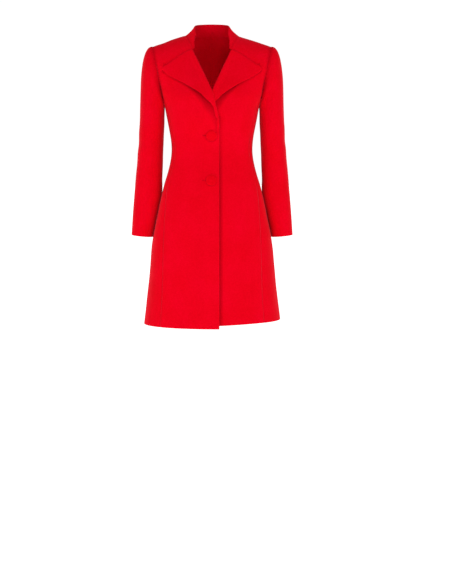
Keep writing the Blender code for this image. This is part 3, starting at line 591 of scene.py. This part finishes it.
def shade_beside_edges(points, side):
    """Painted shade and shadow: below a lapel's lower edge and above its top edge, beside the other front's edge,
    and round a button.
    """
    x, z = points[..., 0], points[..., 2]
    spans = np.arctan2(np.diff(LAPEL_EDGE[:, 1]), np.diff(LAPEL_EDGE[:, 0]))
    slant = np.cos(np.interp(x, (LAPEL_EDGE[1:, 0] + LAPEL_EDGE[:-1, 0]) / 2, spans))
    below = (np.interp(x, *LAPEL_EDGE.T) - z) * slant
    above = (z - np.interp(x, *LAPEL_TOP.T)) * 0.85
    tip_x, tip_z = LAPEL_EDGE[-1]
    from_tip = np.hypot(x - tip_x, z - tip_z)
    places_x = (-0.02, 0.010, 0.023, 0.055, 0.080, 0.104, 0.157)
    width = np.interp(x, places_x, (0.030, 0.034, 0.032, 0.016, 0.011, 0.009, 0.007))
    strength = np.interp(x, places_x, (0.30, 0.62, 0.68, 0.78, 0.50, 0.30, 0.20))
    # painted shadow below the lapel's lower edge, widest and darkest near the break
    nap_and_shade = shade_line(np.where(x > tip_x, from_tip, np.maximum(below, 0)), width, strength)
    nap_and_shade = np.where((x > tip_x) | (below > -0.020), nap_and_shade, -1)
    # painted shadow above the lapel's top edge
    over = shade_line(np.where(x > tip_x, from_tip, np.maximum(above, 0)), 0.008, 0.28)
    nap_and_shade = np.maximum(nap_and_shade, np.where((x > LAPEL_TOP[0, 0]) & (above > -0.012), over, -1))
    if side == RIGHT:
        # painted shadow round each button, darkest at its lower left
        for height in BUTTON_HEIGHTS.values():
            ring = np.hypot(x - BUTTON_X, z - height) - BUTTON_RADIUS
            slanted_height = (z - height + 0.4 * (BUTTON_X - x)) / BUTTON_RADIUS
            nap_and_shade = np.maximum(nap_and_shade, shade_line(np.abs(ring), 0.005, 0.02 + 0.26 * fade(0.6, -0.6, slanted_height)))
        return nap_and_shade
    # painted shadow beside the right front's edge, on the left front
    edge = np.interp(z, (-0.258, -0.254, -0.240, -0.216, -0.200), (FRONT_EDGE, 0.0177, 0.0128, -0.0016, -0.0192))
    beside = shade_line(x - edge, 0.013, 0.28 + 0.27 * fade(-0.330, -0.450, z))
    return np.maximum(nap_and_shade, np.where(z < -0.200, beside, -1))


def front_panel(side):
    """Middle points of a front and its lapel, their thickness, which faces are cloth, and the painted shade."""
    across = 1 - (1 - np.linspace(0, 1, 11)) ** 1.6
    z = row_heights(HEM[side][0] + (HEM[side][1] - HEM[side][0]) * fade(0, 1, across), armhole(FRONT_MEET)[2])
    first = np.where(z < BREAK, -FRONT_EDGE, np.maximum(smooth(ROLL_LINE[:, 1], ROLL_LINE[:, 0], z), -FRONT_EDGE))
    x = first + (seam_x(z, True) - first) * across
    low = np.stack([x, body_y(x, z, True), z], axis=-1)
    coarse = np.concatenate([low, top_rows(FRONT_ROWS, FRONT_ANGLES[1:], across)])

    # Rows, closer together round the break, with one at the lapel's top edge.
    fine_rows = np.linspace(0, len(coarse) - 1, 1500)
    height = redraw(coarse, fine_rows, [0])[:, 0, 2]
    near_break = np.interp(np.arange(-0.290, -0.224, 0.002), height, fine_rows)
    top_row = np.interp(LAPEL_TOP[0, 1], height, fine_rows)
    rows = places(coarse, 0, more=(LOW_ROWS - 1, NECK_ROW, top_row, *near_break))
    arm, top = (int(np.abs(rows - row).argmin()) for row in (LOW_ROWS - 1, top_row))

    # The front's surface, from a little before the roll line to the side.
    last = len(across) - 1
    guide_columns = np.concatenate([[-0.3, -0.15], np.linspace(0, 1, 9), np.linspace(1.2, last, 40)])
    guide = redraw(coarse, rows, guide_columns)
    guide[..., 1] -= lap(side, guide[..., 0], guide[..., 2])
    guide_out = grid_out(guide, False)
    guide += guide_out * drape(guide, side)[..., None]
    roll, out = guide[:, 2], grid_out(guide, False)[:, 2]
    z = roll[:, 2]
    inward = guide[:, 4] - guide[:, 2]
    line = unit(np.gradient(roll, axis=0))
    past = unit(np.cross(out, line))
    past = np.where(np.sum(past * inward, axis=-1, keepdims=True) > 0, -past, past)
    slant = -np.sum(unit(inward) * past, axis=-1)

    # How much cloth lies past the fold's start, and how tightly it is bent.
    edge_wall = FACED if side == RIGHT else WALL
    opens = fade(-0.200, -0.150, z)
    radius, free_wall = 0.0013 + 0.0017 * opens, 0.0020 + 0.0008 * opens
    if side == RIGHT:
        radius = free_wall = np.full(len(z), 0.0030)
    bend = (fade(-0.290, -0.252, z) if side == RIGHT else fade(-0.272, -0.256, z)) / radius
    bend = np.maximum(bend, 1e-3)
    shares = np.linspace(0, 1, 400)
    share = np.interp(z, along(ROLL_LINE, shares)[:, 1], shares)
    start, end = along(ROLL_LINE, share), along(LAPEL_EDGE, share)
    width = np.linalg.norm(end - start, axis=1)
    rolled = np.pi * radius + width - radius
    cloth = 0.005 + (rolled - 0.005) * fade(-0.272, -0.250, z)
    arc = 1 / (1 / (np.pi * radius) ** 8 + 1 / (0.7 * cloth) ** 8) ** (1 / 8)
    reach = np.where(bend * cloth < np.pi / 2, np.sin(np.minimum(bend * cloth, np.pi / 2)) / bend, 1 / bend)
    setback = (reach + edge_wall / 2) / slant
    above = z > z[top] + 1e-6
    setback = np.where(above, 0.0006 + (setback[top] - 0.0006) * (1 - fade(z[top], z[top] + 0.008, z)), setback)

    # The front itself, from the fold's start to the side.
    lengths = from_edge(guide[:, 2:], "first_column")
    fold_column = np.array([np.interp(setback[i], lengths[i], guide_columns[2:]) for i in range(len(rows))])
    even = places(coarse, 1) / last
    columns = fold_column[:, None] + (last - fold_column[:, None]) * even
    in_rows = np.einsum("ai,ijk->ajk", spline(len(coarse), rows), coarse)
    points = np.stack([spline(len(across), columns[i]) @ in_rows[i] for i in range(len(rows))])
    points[..., 1] -= lap(side, points[..., 0], points[..., 2])
    square = grid_out(points, False)
    points += square * drape(points, side)[..., None]
    if side == LEFT:  # a hollow beside the right front's edge
        beside = np.exp(-(((points[..., 0] - FRONT_EDGE - 0.0015) / 0.0045) ** 2))
        beside *= 1 - fade(BREAK - 0.010, BREAK + 0.020, points[..., 2])
        points -= square * (0.0009 * beside)[..., None]
    press(points, square, "last_row", depth=0.0005)
    press(points[: arm + 1], square[: arm + 1], "last_column")
    sink_at_armhole(points[arm:], "last_column")
    draw_back(points, square, "first_row", WALL + CLEAR)
    draw_back(points, square, "last_row", SEAM_EDGE)
    draw_back(points[:arm], square[:arm], "last_column", SEAM_EDGE + 0.0003 * mouth(points[:arm, -1, 2]))
    draw_back(points[arm:], square[arm:], "last_column", ARM_EDGE)

    def faced(distance):
        """How much thicker the cloth is where its facing lies behind it."""
        return (edge_wall - WALL) * (1 - fade(0.045, 0.080, distance))

    wall = WALL + faced(from_edge(points, "first_column") + setback[:, None])
    middle = points - square * (WALL - wall / 2)[..., None]
    # painted shade along the side seam, by the lapels' edges, the front edge and the buttons
    nap_and_shade = np.maximum(shade_along_edges(points, "last_column"), shade_beside_edges(points, side))
    nap_and_shade[arm:] = np.maximum(nap_and_shade[arm:], shade_at_armhole(points[arm:], "last_column"))

    # The fold and what hangs free of it, as a section of the row's own bend.
    steps = np.concatenate([np.linspace(0, 1, ARC_STEPS + 1)[1:], 1 + np.linspace(0, 1, LAPEL_STEPS + 1)[1:]])
    along_cloth = np.where(steps <= 1, steps * arc[:, None], arc[:, None] + (steps - 1) * (cloth - arc)[:, None])
    turn = np.minimum(along_cloth * bend[:, None], np.pi)
    over = np.maximum(along_cloth - np.pi / bend[:, None], 0)
    ahead = np.sin(turn) / bend[:, None] - over
    rise = (1 - np.cos(turn)) / bend[:, None]
    at, normal = middle[:, 0], square[:, 0]
    away = unit(past - normal * np.sum(past * normal, axis=-1, keepdims=True))
    free = at[:, None] + away[:, None] * ahead[..., None] + normal[:, None] * rise[..., None]

    # Above the break it lies along the front.
    quads = grid_quads(*guide.shape[:2]).reshape(-1, 4)
    surface = BVHTree.FromPolygons(guide.reshape(-1, 3).tolist(), quads.tolist())
    top_share = np.linalg.norm(LAPEL_TOP - LAPEL_TOP[0], axis=1) / np.linalg.norm(LAPEL_TOP[-1] - LAPEL_TOP[0])
    lies = fade(-0.247, -0.228, z)
    lift_from = 0.05 if side == RIGHT else 0.25
    for i in np.flatnonzero(lies[: top + 1]):
        length = width[i]
        near = radius[i] + edge_wall / 2
        spots = near + (length - near) * (steps[ARC_STEPS - 1 :] - 1)
        part = spots / length
        flat = start[i] + (end[i] - start[i]) * part[:, None]
        bow = np.stack([smooth(top_share, LAPEL_TOP[:, axis], part) for axis in (0, 1)], axis=-1)
        flat += (bow - LAPEL_TOP[0] - (LAPEL_TOP[-1] - LAPEL_TOP[0]) * part[:, None]) * share[i] ** 6
        close = faced(spots) + (0.0007 if side == RIGHT else 0.0004) + free_wall[i] / 2
        loft = 2 * radius[i] - WALL + edge_wall / 2
        lift = 0.0050 * fade(lift_from, lift_from + 0.30, share[i]) * (spots - near) / (length - near)
        lain = []
        for spot, up in zip(flat, loft + (close - loft) * fade(near, 0.022, spots) + lift):
            point, facing, _, _ = surface.ray_cast(Vector((spot[0], -1, spot[1])), Vector((0, 1, 0)))
            facing = np.array(facing if facing.y < 0 else -facing)
            lain.append(np.array(point) + facing * up)
        lain = np.array(lain)
        change = (lain - free[i, ARC_STEPS - 1 :]) * lies[i]
        free[i, ARC_STEPS - 1 :] += change
        free[i, : ARC_STEPS - 1] += change[0] * steps[: ARC_STEPS - 1, None] ** 2
    free[top + 1 :] = free[top]

    sheet = np.concatenate([free[:, ::-1], middle], axis=1)
    facing = np.concatenate([np.repeat(square[:, :1], free.shape[1], axis=1), square], axis=1)
    thins = fade(0, 1, np.linspace(1, 0, free.shape[1])) * lies[:, None]
    thick = np.concatenate([edge_wall + (free_wall[:, None] - edge_wall) * thins, wall], axis=1)
    sheet = turned_up(sheet, facing, WALL)
    extra = len(sheet) - len(middle)
    thick = np.concatenate([np.repeat(np.minimum(thick[:1], 0.0026), extra, axis=0), thick])
    faces = np.ones((sheet.shape[0] - 1, sheet.shape[1] - 1), bool)
    faces[extra + top :, : free.shape[1]] = False
    if side == RIGHT:
        inside = sheet[: extra - FOLD_ROWS, :-1]
        faces[: extra - FOLD_ROWS] &= (inside[..., 0] >= UNDER_LEFT_HEM[0]) | (inside[..., 2] <= UNDER_LEFT_HEM[1])
    return sheet * (side, 1, 1), thick, faces, np.pad(nap_and_shade, ((extra, 0), (free.shape[1], 0)), constant_values=-1)


for side, word in SIDES.items():
    middle, thick, faces, nap_and_shade = front_panel(side)
    panel = sewn_sheet(f"front_panel_{word}", middle, thick, side == RIGHT, coating, faces, nap_and_shade)
    wear(panel, (0.320, 1.060), 0.200, f"front_{word}", f"lapel_{word}")


# ------------------------------------------------------------------ collar
# A stand collar: a strip of the wool, two layers thick, seamed round its top and sewn to the neckline and to the
# tops of the lapels. Here it is one sheet.

COLLAR_TOP = columns_of(
    "angle x y z",
    (118.0, 0.0600, -0.0600, -0.0370),
    (140.0, 0.0585, -0.0460, -0.0120),
    (160.0, 0.0545, -0.0300, 0.0130),
    (180.0, 0.0560, -0.0080, 0.0350),
    (193.0, 0.0550, 0.0220, 0.0430),
    (208.0, 0.0350, 0.0500, 0.0480),
    (225.0, 0.0000, 0.0620, 0.0500),
)
COLLAR_THICK = 0.0030


def stand_collar():
    front = top_rows(FRONT_ROWS, FRONT_ANGLES[ARM_STEPS:], [0.0])[:, 0]
    back = top_rows(BACK_ROWS, BACK_ANGLES[ARM_STEPS:], [0.0])[:, 0]
    half = np.concatenate([front, back[-2::-1]])
    line = np.gradient(half, axis=0)
    toward = unit(np.stack([-line[:, 1], line[:, 0], np.zeros(len(line))], axis=-1))
    toward[-1] = (0, -1, 0)
    angles = np.concatenate([FRONT_ANGLES[ARM_STEPS:], 360 - BACK_ANGLES[ARM_STEPS:-1][::-1]])
    top = np.stack([smooth(COLLAR_TOP["angle"], COLLAR_TOP[name], angles) for name in "xyz"], axis=-1)
    share = np.linspace(0, 1, 5)[:, None, None]
    hollow = unit(toward + (0, 0, -1)) * (1, 1, 0)
    coarse = half + (top - half) * share + 0.004 * np.sin(np.pi * share) * hollow
    coarse = np.concatenate([coarse * (-1, 1, 1), coarse[:, -2::-1]], axis=1)
    points = redraw(coarse, places(coarse, 0, 0.003), places(coarse, 1, 0.004))
    out = grid_out(points, True)
    press(points, out, "last_row", width=0.004, depth=0.0004)
    draw_back(points, out, "first_row", 0.0008)
    for edge in ("last_row", "first_column", "last_column"):
        draw_back(points, out, edge, COLLAR_THICK / 2)
    # painted shade along the collar's foot
    return points - out * COLLAR_THICK / 2, shade_along_edges(points, "first_row")


middle, nap_and_shade = stand_collar()
collar = sewn_sheet("stand_collar", middle, COLLAR_THICK, True, coating, painted_shade=nap_and_shade)
wear(collar, (0.416, 0.044), 0.0159, "collar")


# ------------------------------------------------------------------ sleeves
# Long two-piece sleeves: a top sleeve and a narrower under sleeve, set into the armhole and turned up at the cuff.
# Slack at the elbow lies across them in soft folds.

SLEEVE_THICK = 0.0020
SLEEVE = columns_of(
    "outer_x outer_z inner_x inner_z front back middle egg",
    (*ARM_HIGH, *ARM_LOW, ARM_FRONT, ARM_BACK, 0.000, ARM_EGG),
    (0.2042, -0.0302, 0.1550, -0.2275, 0.0600, 0.0710, 0.000, 1.11),
    (0.2140, -0.0415, 0.1554, -0.2315, 0.0615, 0.0710, 0.000, 1.10),
    (0.2222, -0.0620, 0.1556, -0.2360, 0.0625, 0.0700, 0.000, 1.08),
    (0.2285, -0.0930, 0.1558, -0.2410, 0.0630, 0.0690, 0.001, 1.06),
    (0.2332, -0.1400, 0.1560, -0.2470, 0.0635, 0.0675, 0.002, 1.04),
    (0.2352, -0.2000, 0.1564, -0.2560, 0.0635, 0.0660, 0.003, 1.02),
    (0.2375, -0.2600, 0.1568, -0.2750, 0.0630, 0.0650, 0.004, 1.00),
    (0.2422, -0.3400, 0.1605, -0.3480, 0.0600, 0.0630, 0.007, 1.00),
    (0.2503, -0.4250, 0.1638, -0.4300, 0.0570, 0.0610, 0.010, 1.00),
    (0.2578, -0.5050, 0.1695, -0.5110, 0.0530, 0.0570, 0.011, 1.00),
    (0.2635, -0.5720, 0.1842, -0.5790, 0.0500, 0.0530, 0.009, 1.00),
    (0.2684, -0.6445, 0.1995, -0.6515, 0.0460, 0.0480, 0.006, 1.00),
)
ELBOW_FOLDS = (  # height, size and width
    (-0.285, 0.0011, 0.016), (-0.325, -0.0013, 0.014), (-0.352, 0.0010, 0.015), (-0.392, -0.0007, 0.018),
)


def sleeve_piece(side, under):
    rings = np.concatenate([np.arange(0, 6), np.arange(6, 12.25, 0.5)])
    sizes = {name: smooth(np.arange(13), column, rings)[:, None] for name, column in SLEEVE.items()}
    angles = np.linspace(-BACK_MEET, FRONT_MEET, 12) if under else np.linspace(FRONT_MEET, 360 - BACK_MEET, 25)
    coarse = oval(
        angles[None, :], (sizes["inner_x"], sizes["inner_z"]), (sizes["outer_x"], sizes["outer_z"]),
        sizes["front"], sizes["back"], sizes["middle"], sizes["egg"],
    )
    coarse[0] += 0.0004 * unit(np.array([ARM_HIGH[1] - ARM_LOW[1], 0, ARM_LOW[0] - ARM_HIGH[0]]))
    points = redraw(coarse, places(coarse, 0), places(coarse, 1))
    out = grid_out(points, True)
    unevenness = 0.5 * drape(points, side) * fade(-0.5, -0.4, points[..., 2])
    points += out * (sleeve_folds(points, side) + unevenness)[..., None]
    rest_on_skirt(points, side)
    sink_at_armhole(points, "first_row")
    press(points, out, "first_column", "last_column", width=0.006, depth=0.0005)
    draw_back(points, out, "first_row", ARM_EDGE)
    draw_back(points, out, "last_row", SLEEVE_THICK + CLEAR)
    draw_back(points, out, "first_column", SEAM_EDGE)
    draw_back(points, out, "last_column", SEAM_EDGE)
    # painted shade along the sleeve's inner side, where the body shades it, and along the armhole
    inner = points[..., 0] - np.interp(-points[..., 2], -SLEEVE["inner_z"], SLEEVE["inner_x"])
    by_body = 0.50 * fade(-0.180, -0.260, points[..., 2]) + 0.001
    inner_side_shade = shade_line(np.maximum(inner, 0), 0.020, by_body)
    nap_and_shade = np.maximum(shade_at_armhole(points, "first_row", 0.020), inner_side_shade)
    middle = turned_up((points - out * SLEEVE_THICK / 2)[::-1], out[::-1], SLEEVE_THICK)[::-1]
    return middle * (side, 1, 1), np.pad(nap_and_shade, ((0, len(middle) - len(nap_and_shade)), (0, 0)), constant_values=-1)


def rest_on_skirt(points, side):
    """The sleeve's inner line lies on the skirt, which bears on it from the hip down."""
    x, y, z = np.moveaxis(points, -1, 0)
    skirt = body_x(y, z)
    room = x - (skirt + drape(np.stack([skirt, y, z], axis=-1), side)) - CLEAR
    points[..., 0] -= room * np.exp(-((room / 0.0065) ** 2)) * fade(-0.41, -0.46, z)


def sleeve_folds(points, side):
    """Soft slanting folds at the elbow."""
    x, y, z = np.moveaxis(points * (side, 1, 1), -1, 0)
    x = np.abs(x)
    slant = z + 0.35 * (x - 0.200) * (1 if side == RIGHT else 0.8)
    elbow = np.zeros_like(z)
    for height, size, wide in ELBOW_FOLDS:
        elbow += size * np.exp(-(((slant - height - 0.004 * side) / wide) ** 2))
    elbow *= 0.45 + 0.55 * fade(0.030, -0.050, y)
    return elbow * fade(0.150, 0.175, x)


for side, word in SIDES.items():
    for kind, flat, area in (("top", (0.250, 0.680), 0.130), ("under", (0.130, 0.540), 0.058)):
        middle, nap_and_shade = sleeve_piece(side, kind == "under")
        name = f"{kind}_sleeve_cloth_{word}"
        piece = sewn_sheet(name, middle, SLEEVE_THICK, side == LEFT, coating, painted_shade=nap_and_shade)
        wear(piece, flat, area, f"{kind}_sleeve_{word}")


# ------------------------------------------------------------------ covered buttons
# Two 35 mm buttons, each a domed metal form with a disc of the coat's wool drawn tight over it and gathered under
# its rim.

covered = milled_wool("covered_button_wool", "#E60011", "#EC0015", "#F2001A", nap_mm=1.2, bump=0.3)


def on_right_front(x, z, out=(0, -1, 0)):
    """A point of the right front's outer face, with x outward."""
    point = np.array([x, float(body_y(x, z, True)) - float(lap(RIGHT, x, z)), z])
    return point + np.array(out) * (float(drape(point, RIGHT)) + FACED - WALL)


def covered_button(name, height):
    profile = np.array((  # share of the radius, and height above the cloth
        (0.001, 0.0006), (0.30, 0.0006), (0.32, 0.0013), (0.70, 0.0014), (0.90, 0.0016),
        (0.975, 0.0023), (1.00, 0.0033), (0.985, 0.0043), (0.93, 0.0052), (0.80, 0.0062),
        (0.60, 0.0070), (0.35, 0.0075), (0.15, 0.0077), (0.001, 0.0077),
    ))
    fine = along(profile * (BUTTON_RADIUS, 1), np.linspace(0, 1, 60))
    turns = np.linspace(0, 2 * np.pi, 97)[:-1]
    gather = fade(0.0075, 0.0150, fine[:, 0]) * (1 - fade(0.0020, 0.0036, fine[:, 1]))
    ring = np.repeat(fine[:, :1], len(turns), axis=1)
    up = fine[:, None, 1] - 0.00035 * gather[:, None] * np.maximum(np.sin(22 * turns), -0.3)
    small = 0.001
    slope = (body_y(BUTTON_X, height + small, True) - body_y(BUTTON_X, height - small, True)) / (2 * small)
    out, upward = unit(np.array([0, -1, slope])), unit(np.array([0, slope, 1]))
    seat = on_right_front(BUTTON_X, height, out) * (RIGHT, 1, 1)
    local = np.stack([ring * np.cos(turns), ring * np.sin(turns), up], axis=-1)
    points = seat + local[..., 0:1] * (1, 0, 0) + local[..., 1:2] * upward + local[..., 2:3] * out
    index = np.arange(points[..., 0].size).reshape(-1, len(turns))
    onward = np.roll(index, -1, axis=1)
    faces = np.stack([index[:-1], onward[:-1], onward[1:], index[1:]], axis=-1).reshape(-1, 4).tolist()
    faces += [index[0][::-1].tolist(), index[-1].tolist()]
    mesh = bpy.data.meshes.new(name)
    mesh.from_pydata(points.reshape(-1, 3).tolist(), [], faces)
    mesh.shade_smooth()
    mesh.materials.append(covered)
    return in_scene(name, mesh)


for node, height in BUTTON_HEIGHTS.items():
    button = covered_button(f"covered_{node}", height)
    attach(button, "root")
    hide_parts(node)


# ------------------------------------------------------------------ buttonholes
# Each button passes a buttonhole worked in silk twist: close stitches across both lips of a slit that starts at
# the shank and runs out past the button to a rounded end.

HOLE_START, HOLE_END, HOLE_HALF = 0.000, 0.0300, 0.0012
twist = milled_wool("buttonhole_twist", "#C40012", "#D60016", "#E0001A", nap_mm=0.8, bump=0.2)


def stitch_rows():
    """Geometry Nodes that stand one stitch at every pace along a line, square to it."""
    group = bpy.data.node_groups.new("worked_stitches", "GeometryNodeTree")
    group.interface.new_socket("Line", in_out="INPUT", socket_type="NodeSocketGeometry")
    for name, size in (("Pace", 0.0008), ("Reach", 0.0022), ("Thread", 0.00032)):
        group.interface.new_socket(name, in_out="INPUT", socket_type="NodeSocketFloat").default_value = size
    group.interface.new_socket("Stitches", in_out="OUTPUT", socket_type="NodeSocketGeometry")
    given = add(group, "NodeGroupInput").outputs
    curve = add(group, "GeometryNodeMeshToCurve", {"Mesh": given["Line"]})
    paces = {"Curve": curve.outputs["Curve"], "Length": given["Pace"]}
    spots = add(group, "GeometryNodeResampleCurve", paces, mode="LENGTH")
    tangent = {"Vector": add(group, "GeometryNodeInputTangent").outputs["Tangent"]}
    turn = add(group, "FunctionNodeAlignRotationToVector", tangent, axis="X", pivot_axis="Y")
    size = add(group, "ShaderNodeCombineXYZ", {"X": given["Thread"], "Y": given["Thread"], "Z": given["Reach"]})
    thread = add(group, "GeometryNodeMeshUVSphere", {"Segments": 8, "Rings": 6, "Radius": 1.0})
    stand = add(group, "GeometryNodeInstanceOnPoints", {
        "Points": spots.outputs["Curve"], "Instance": thread.outputs["Mesh"],
        "Rotation": turn.outputs["Rotation"], "Scale": size.outputs["Vector"],
    })
    real = add(group, "GeometryNodeRealizeInstances", {"Geometry": stand.outputs["Instances"]})
    done = add(group, "GeometryNodeSetMaterial", {"Geometry": real.outputs["Geometry"], "Material": twist})
    add(group, "NodeGroupOutput", {"Stitches": done.outputs["Geometry"]})
    return group


worked = stitch_rows()
for node, height in BUTTON_HEIGHTS.items():
    reach = np.linspace(HOLE_START, HOLE_END, 28)
    upper, lower = ([(x, height + up) for x in reach] for up in (HOLE_HALF, -HOLE_HALF))
    lips = [*upper, (HOLE_END + 0.0012, height), *lower[::-1]]
    line = [(on_right_front(x, z) * (RIGHT, 1, 1)).tolist() for x, z in lips]
    guide_mesh = bpy.data.meshes.new("stitch_line")
    guide_mesh.from_pydata(line, [(i, i + 1) for i in range(len(line) - 1)], [])
    guide_line = in_scene("stitch_line", guide_mesh)
    sewing = guide_line.modifiers.new("worked_stitches", "NODES")
    sewing.node_group = worked
    sewing[worked.interface.items_tree["Reach"].identifier] = HOLE_HALF * 0.95
    stitched = bpy.data.meshes.new_from_object(guide_line.evaluated_get(bpy.context.evaluated_depsgraph_get()))
    bpy.data.objects.remove(guide_line)
    hole = in_scene(f"buttonhole_{node.split('_')[1]}", stitched)
    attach(hole, "root")


# ------------------------------------------------------------------ studio
# The coat hangs in a white studio, seen a little from above its middle by a long lens, under broad soft light.

FLOOR = -1.665
SEEN_FROM, LOOKED_AT = (0, -4.0, -0.36), (0.046, 0, -0.8353)

floor_mesh = bpy.data.meshes.new("studio_floor")
corners = [(-30, -12, FLOOR), (30, -12, FLOOR), (30, 40, FLOOR), (-30, 40, FLOOR)]
floor_mesh.from_pydata(corners, [], [(0, 1, 2, 3)])
floor = in_scene("studio_floor", floor_mesh)


def glow(tree, seen, cast):
    """A strength with one value as the camera sees it, and another as it lights the coat."""
    ray = add(tree, "ShaderNodeLightPath").outputs["Is Camera Ray"]
    return add(tree, "ShaderNodeMath", {0: ray, 1: seen - cast, 2: cast}, operation="MULTIPLY_ADD").outputs[0]


paper = bpy.data.materials.new("white_paper")
paper.use_nodes = True
feed(paper.node_tree, paper.node_tree.nodes["Principled BSDF"], {
    "Base Color": (0.93, 0.93, 0.93, 1), "Roughness": 0.9,
    "Emission Color": (1, 1, 1, 1), "Emission Strength": glow(paper.node_tree, 0.95, 0.20),
})
floor_mesh.materials.append(paper)


def softbox(name, place, power, aim=-0.75, size=0.9, spread=180):
    """A square area light, aimed at a height on the coat; a grid on it can narrow its spread."""
    light = bpy.data.lights.new(name, "AREA")
    light.shape, light.size, light.energy, light.spread = "SQUARE", size, power, math.radians(spread)
    made = in_scene(name, light)
    made.location = place
    made.rotation_euler = (Vector((0, 0, aim)) - Vector(place)).to_track_quat("-Z", "Y").to_euler()


softbox("left_light", (-1.5, -3.2, -1.35), 18.5, aim=-0.90)
softbox("right_light", (1.5, -3.2, -1.35), 16.6, aim=-0.90)
softbox("top_light", (0.5, -2.6, 1.6), 3.2, aim=-0.85, size=0.7, spread=70)
softbox("left_rim_light", (-2.8, -0.9, -0.85), 17)
softbox("right_rim_light", (2.8, -0.9, -0.85), 14)
softbox("left_back_light", (-2.0, 2.6, -0.50), 14)
softbox("right_back_light", (2.0, 2.6, -0.50), 12)

world = bpy.data.worlds.new("studio")
world.use_nodes = True
white = {"Color": (1, 1, 1, 1), "Strength": glow(world.node_tree, 1.03, 0.38)}
feed(world.node_tree, world.node_tree.nodes["Background"], white)
bpy.context.scene.world = world

lens = bpy.data.cameras.new("camera")
lens.sensor_width, lens.lens = 36, 74.16
camera = in_scene("camera", lens)
camera.location = SEEN_FROM
camera.rotation_euler = (Vector(LOOKED_AT) - camera.location).to_track_quat("-Z", "Y").to_euler()
bpy.context.scene.camera = camera
bpy.context.scene.view_settings.view_transform = "Standard"  # the wool's red at full strength
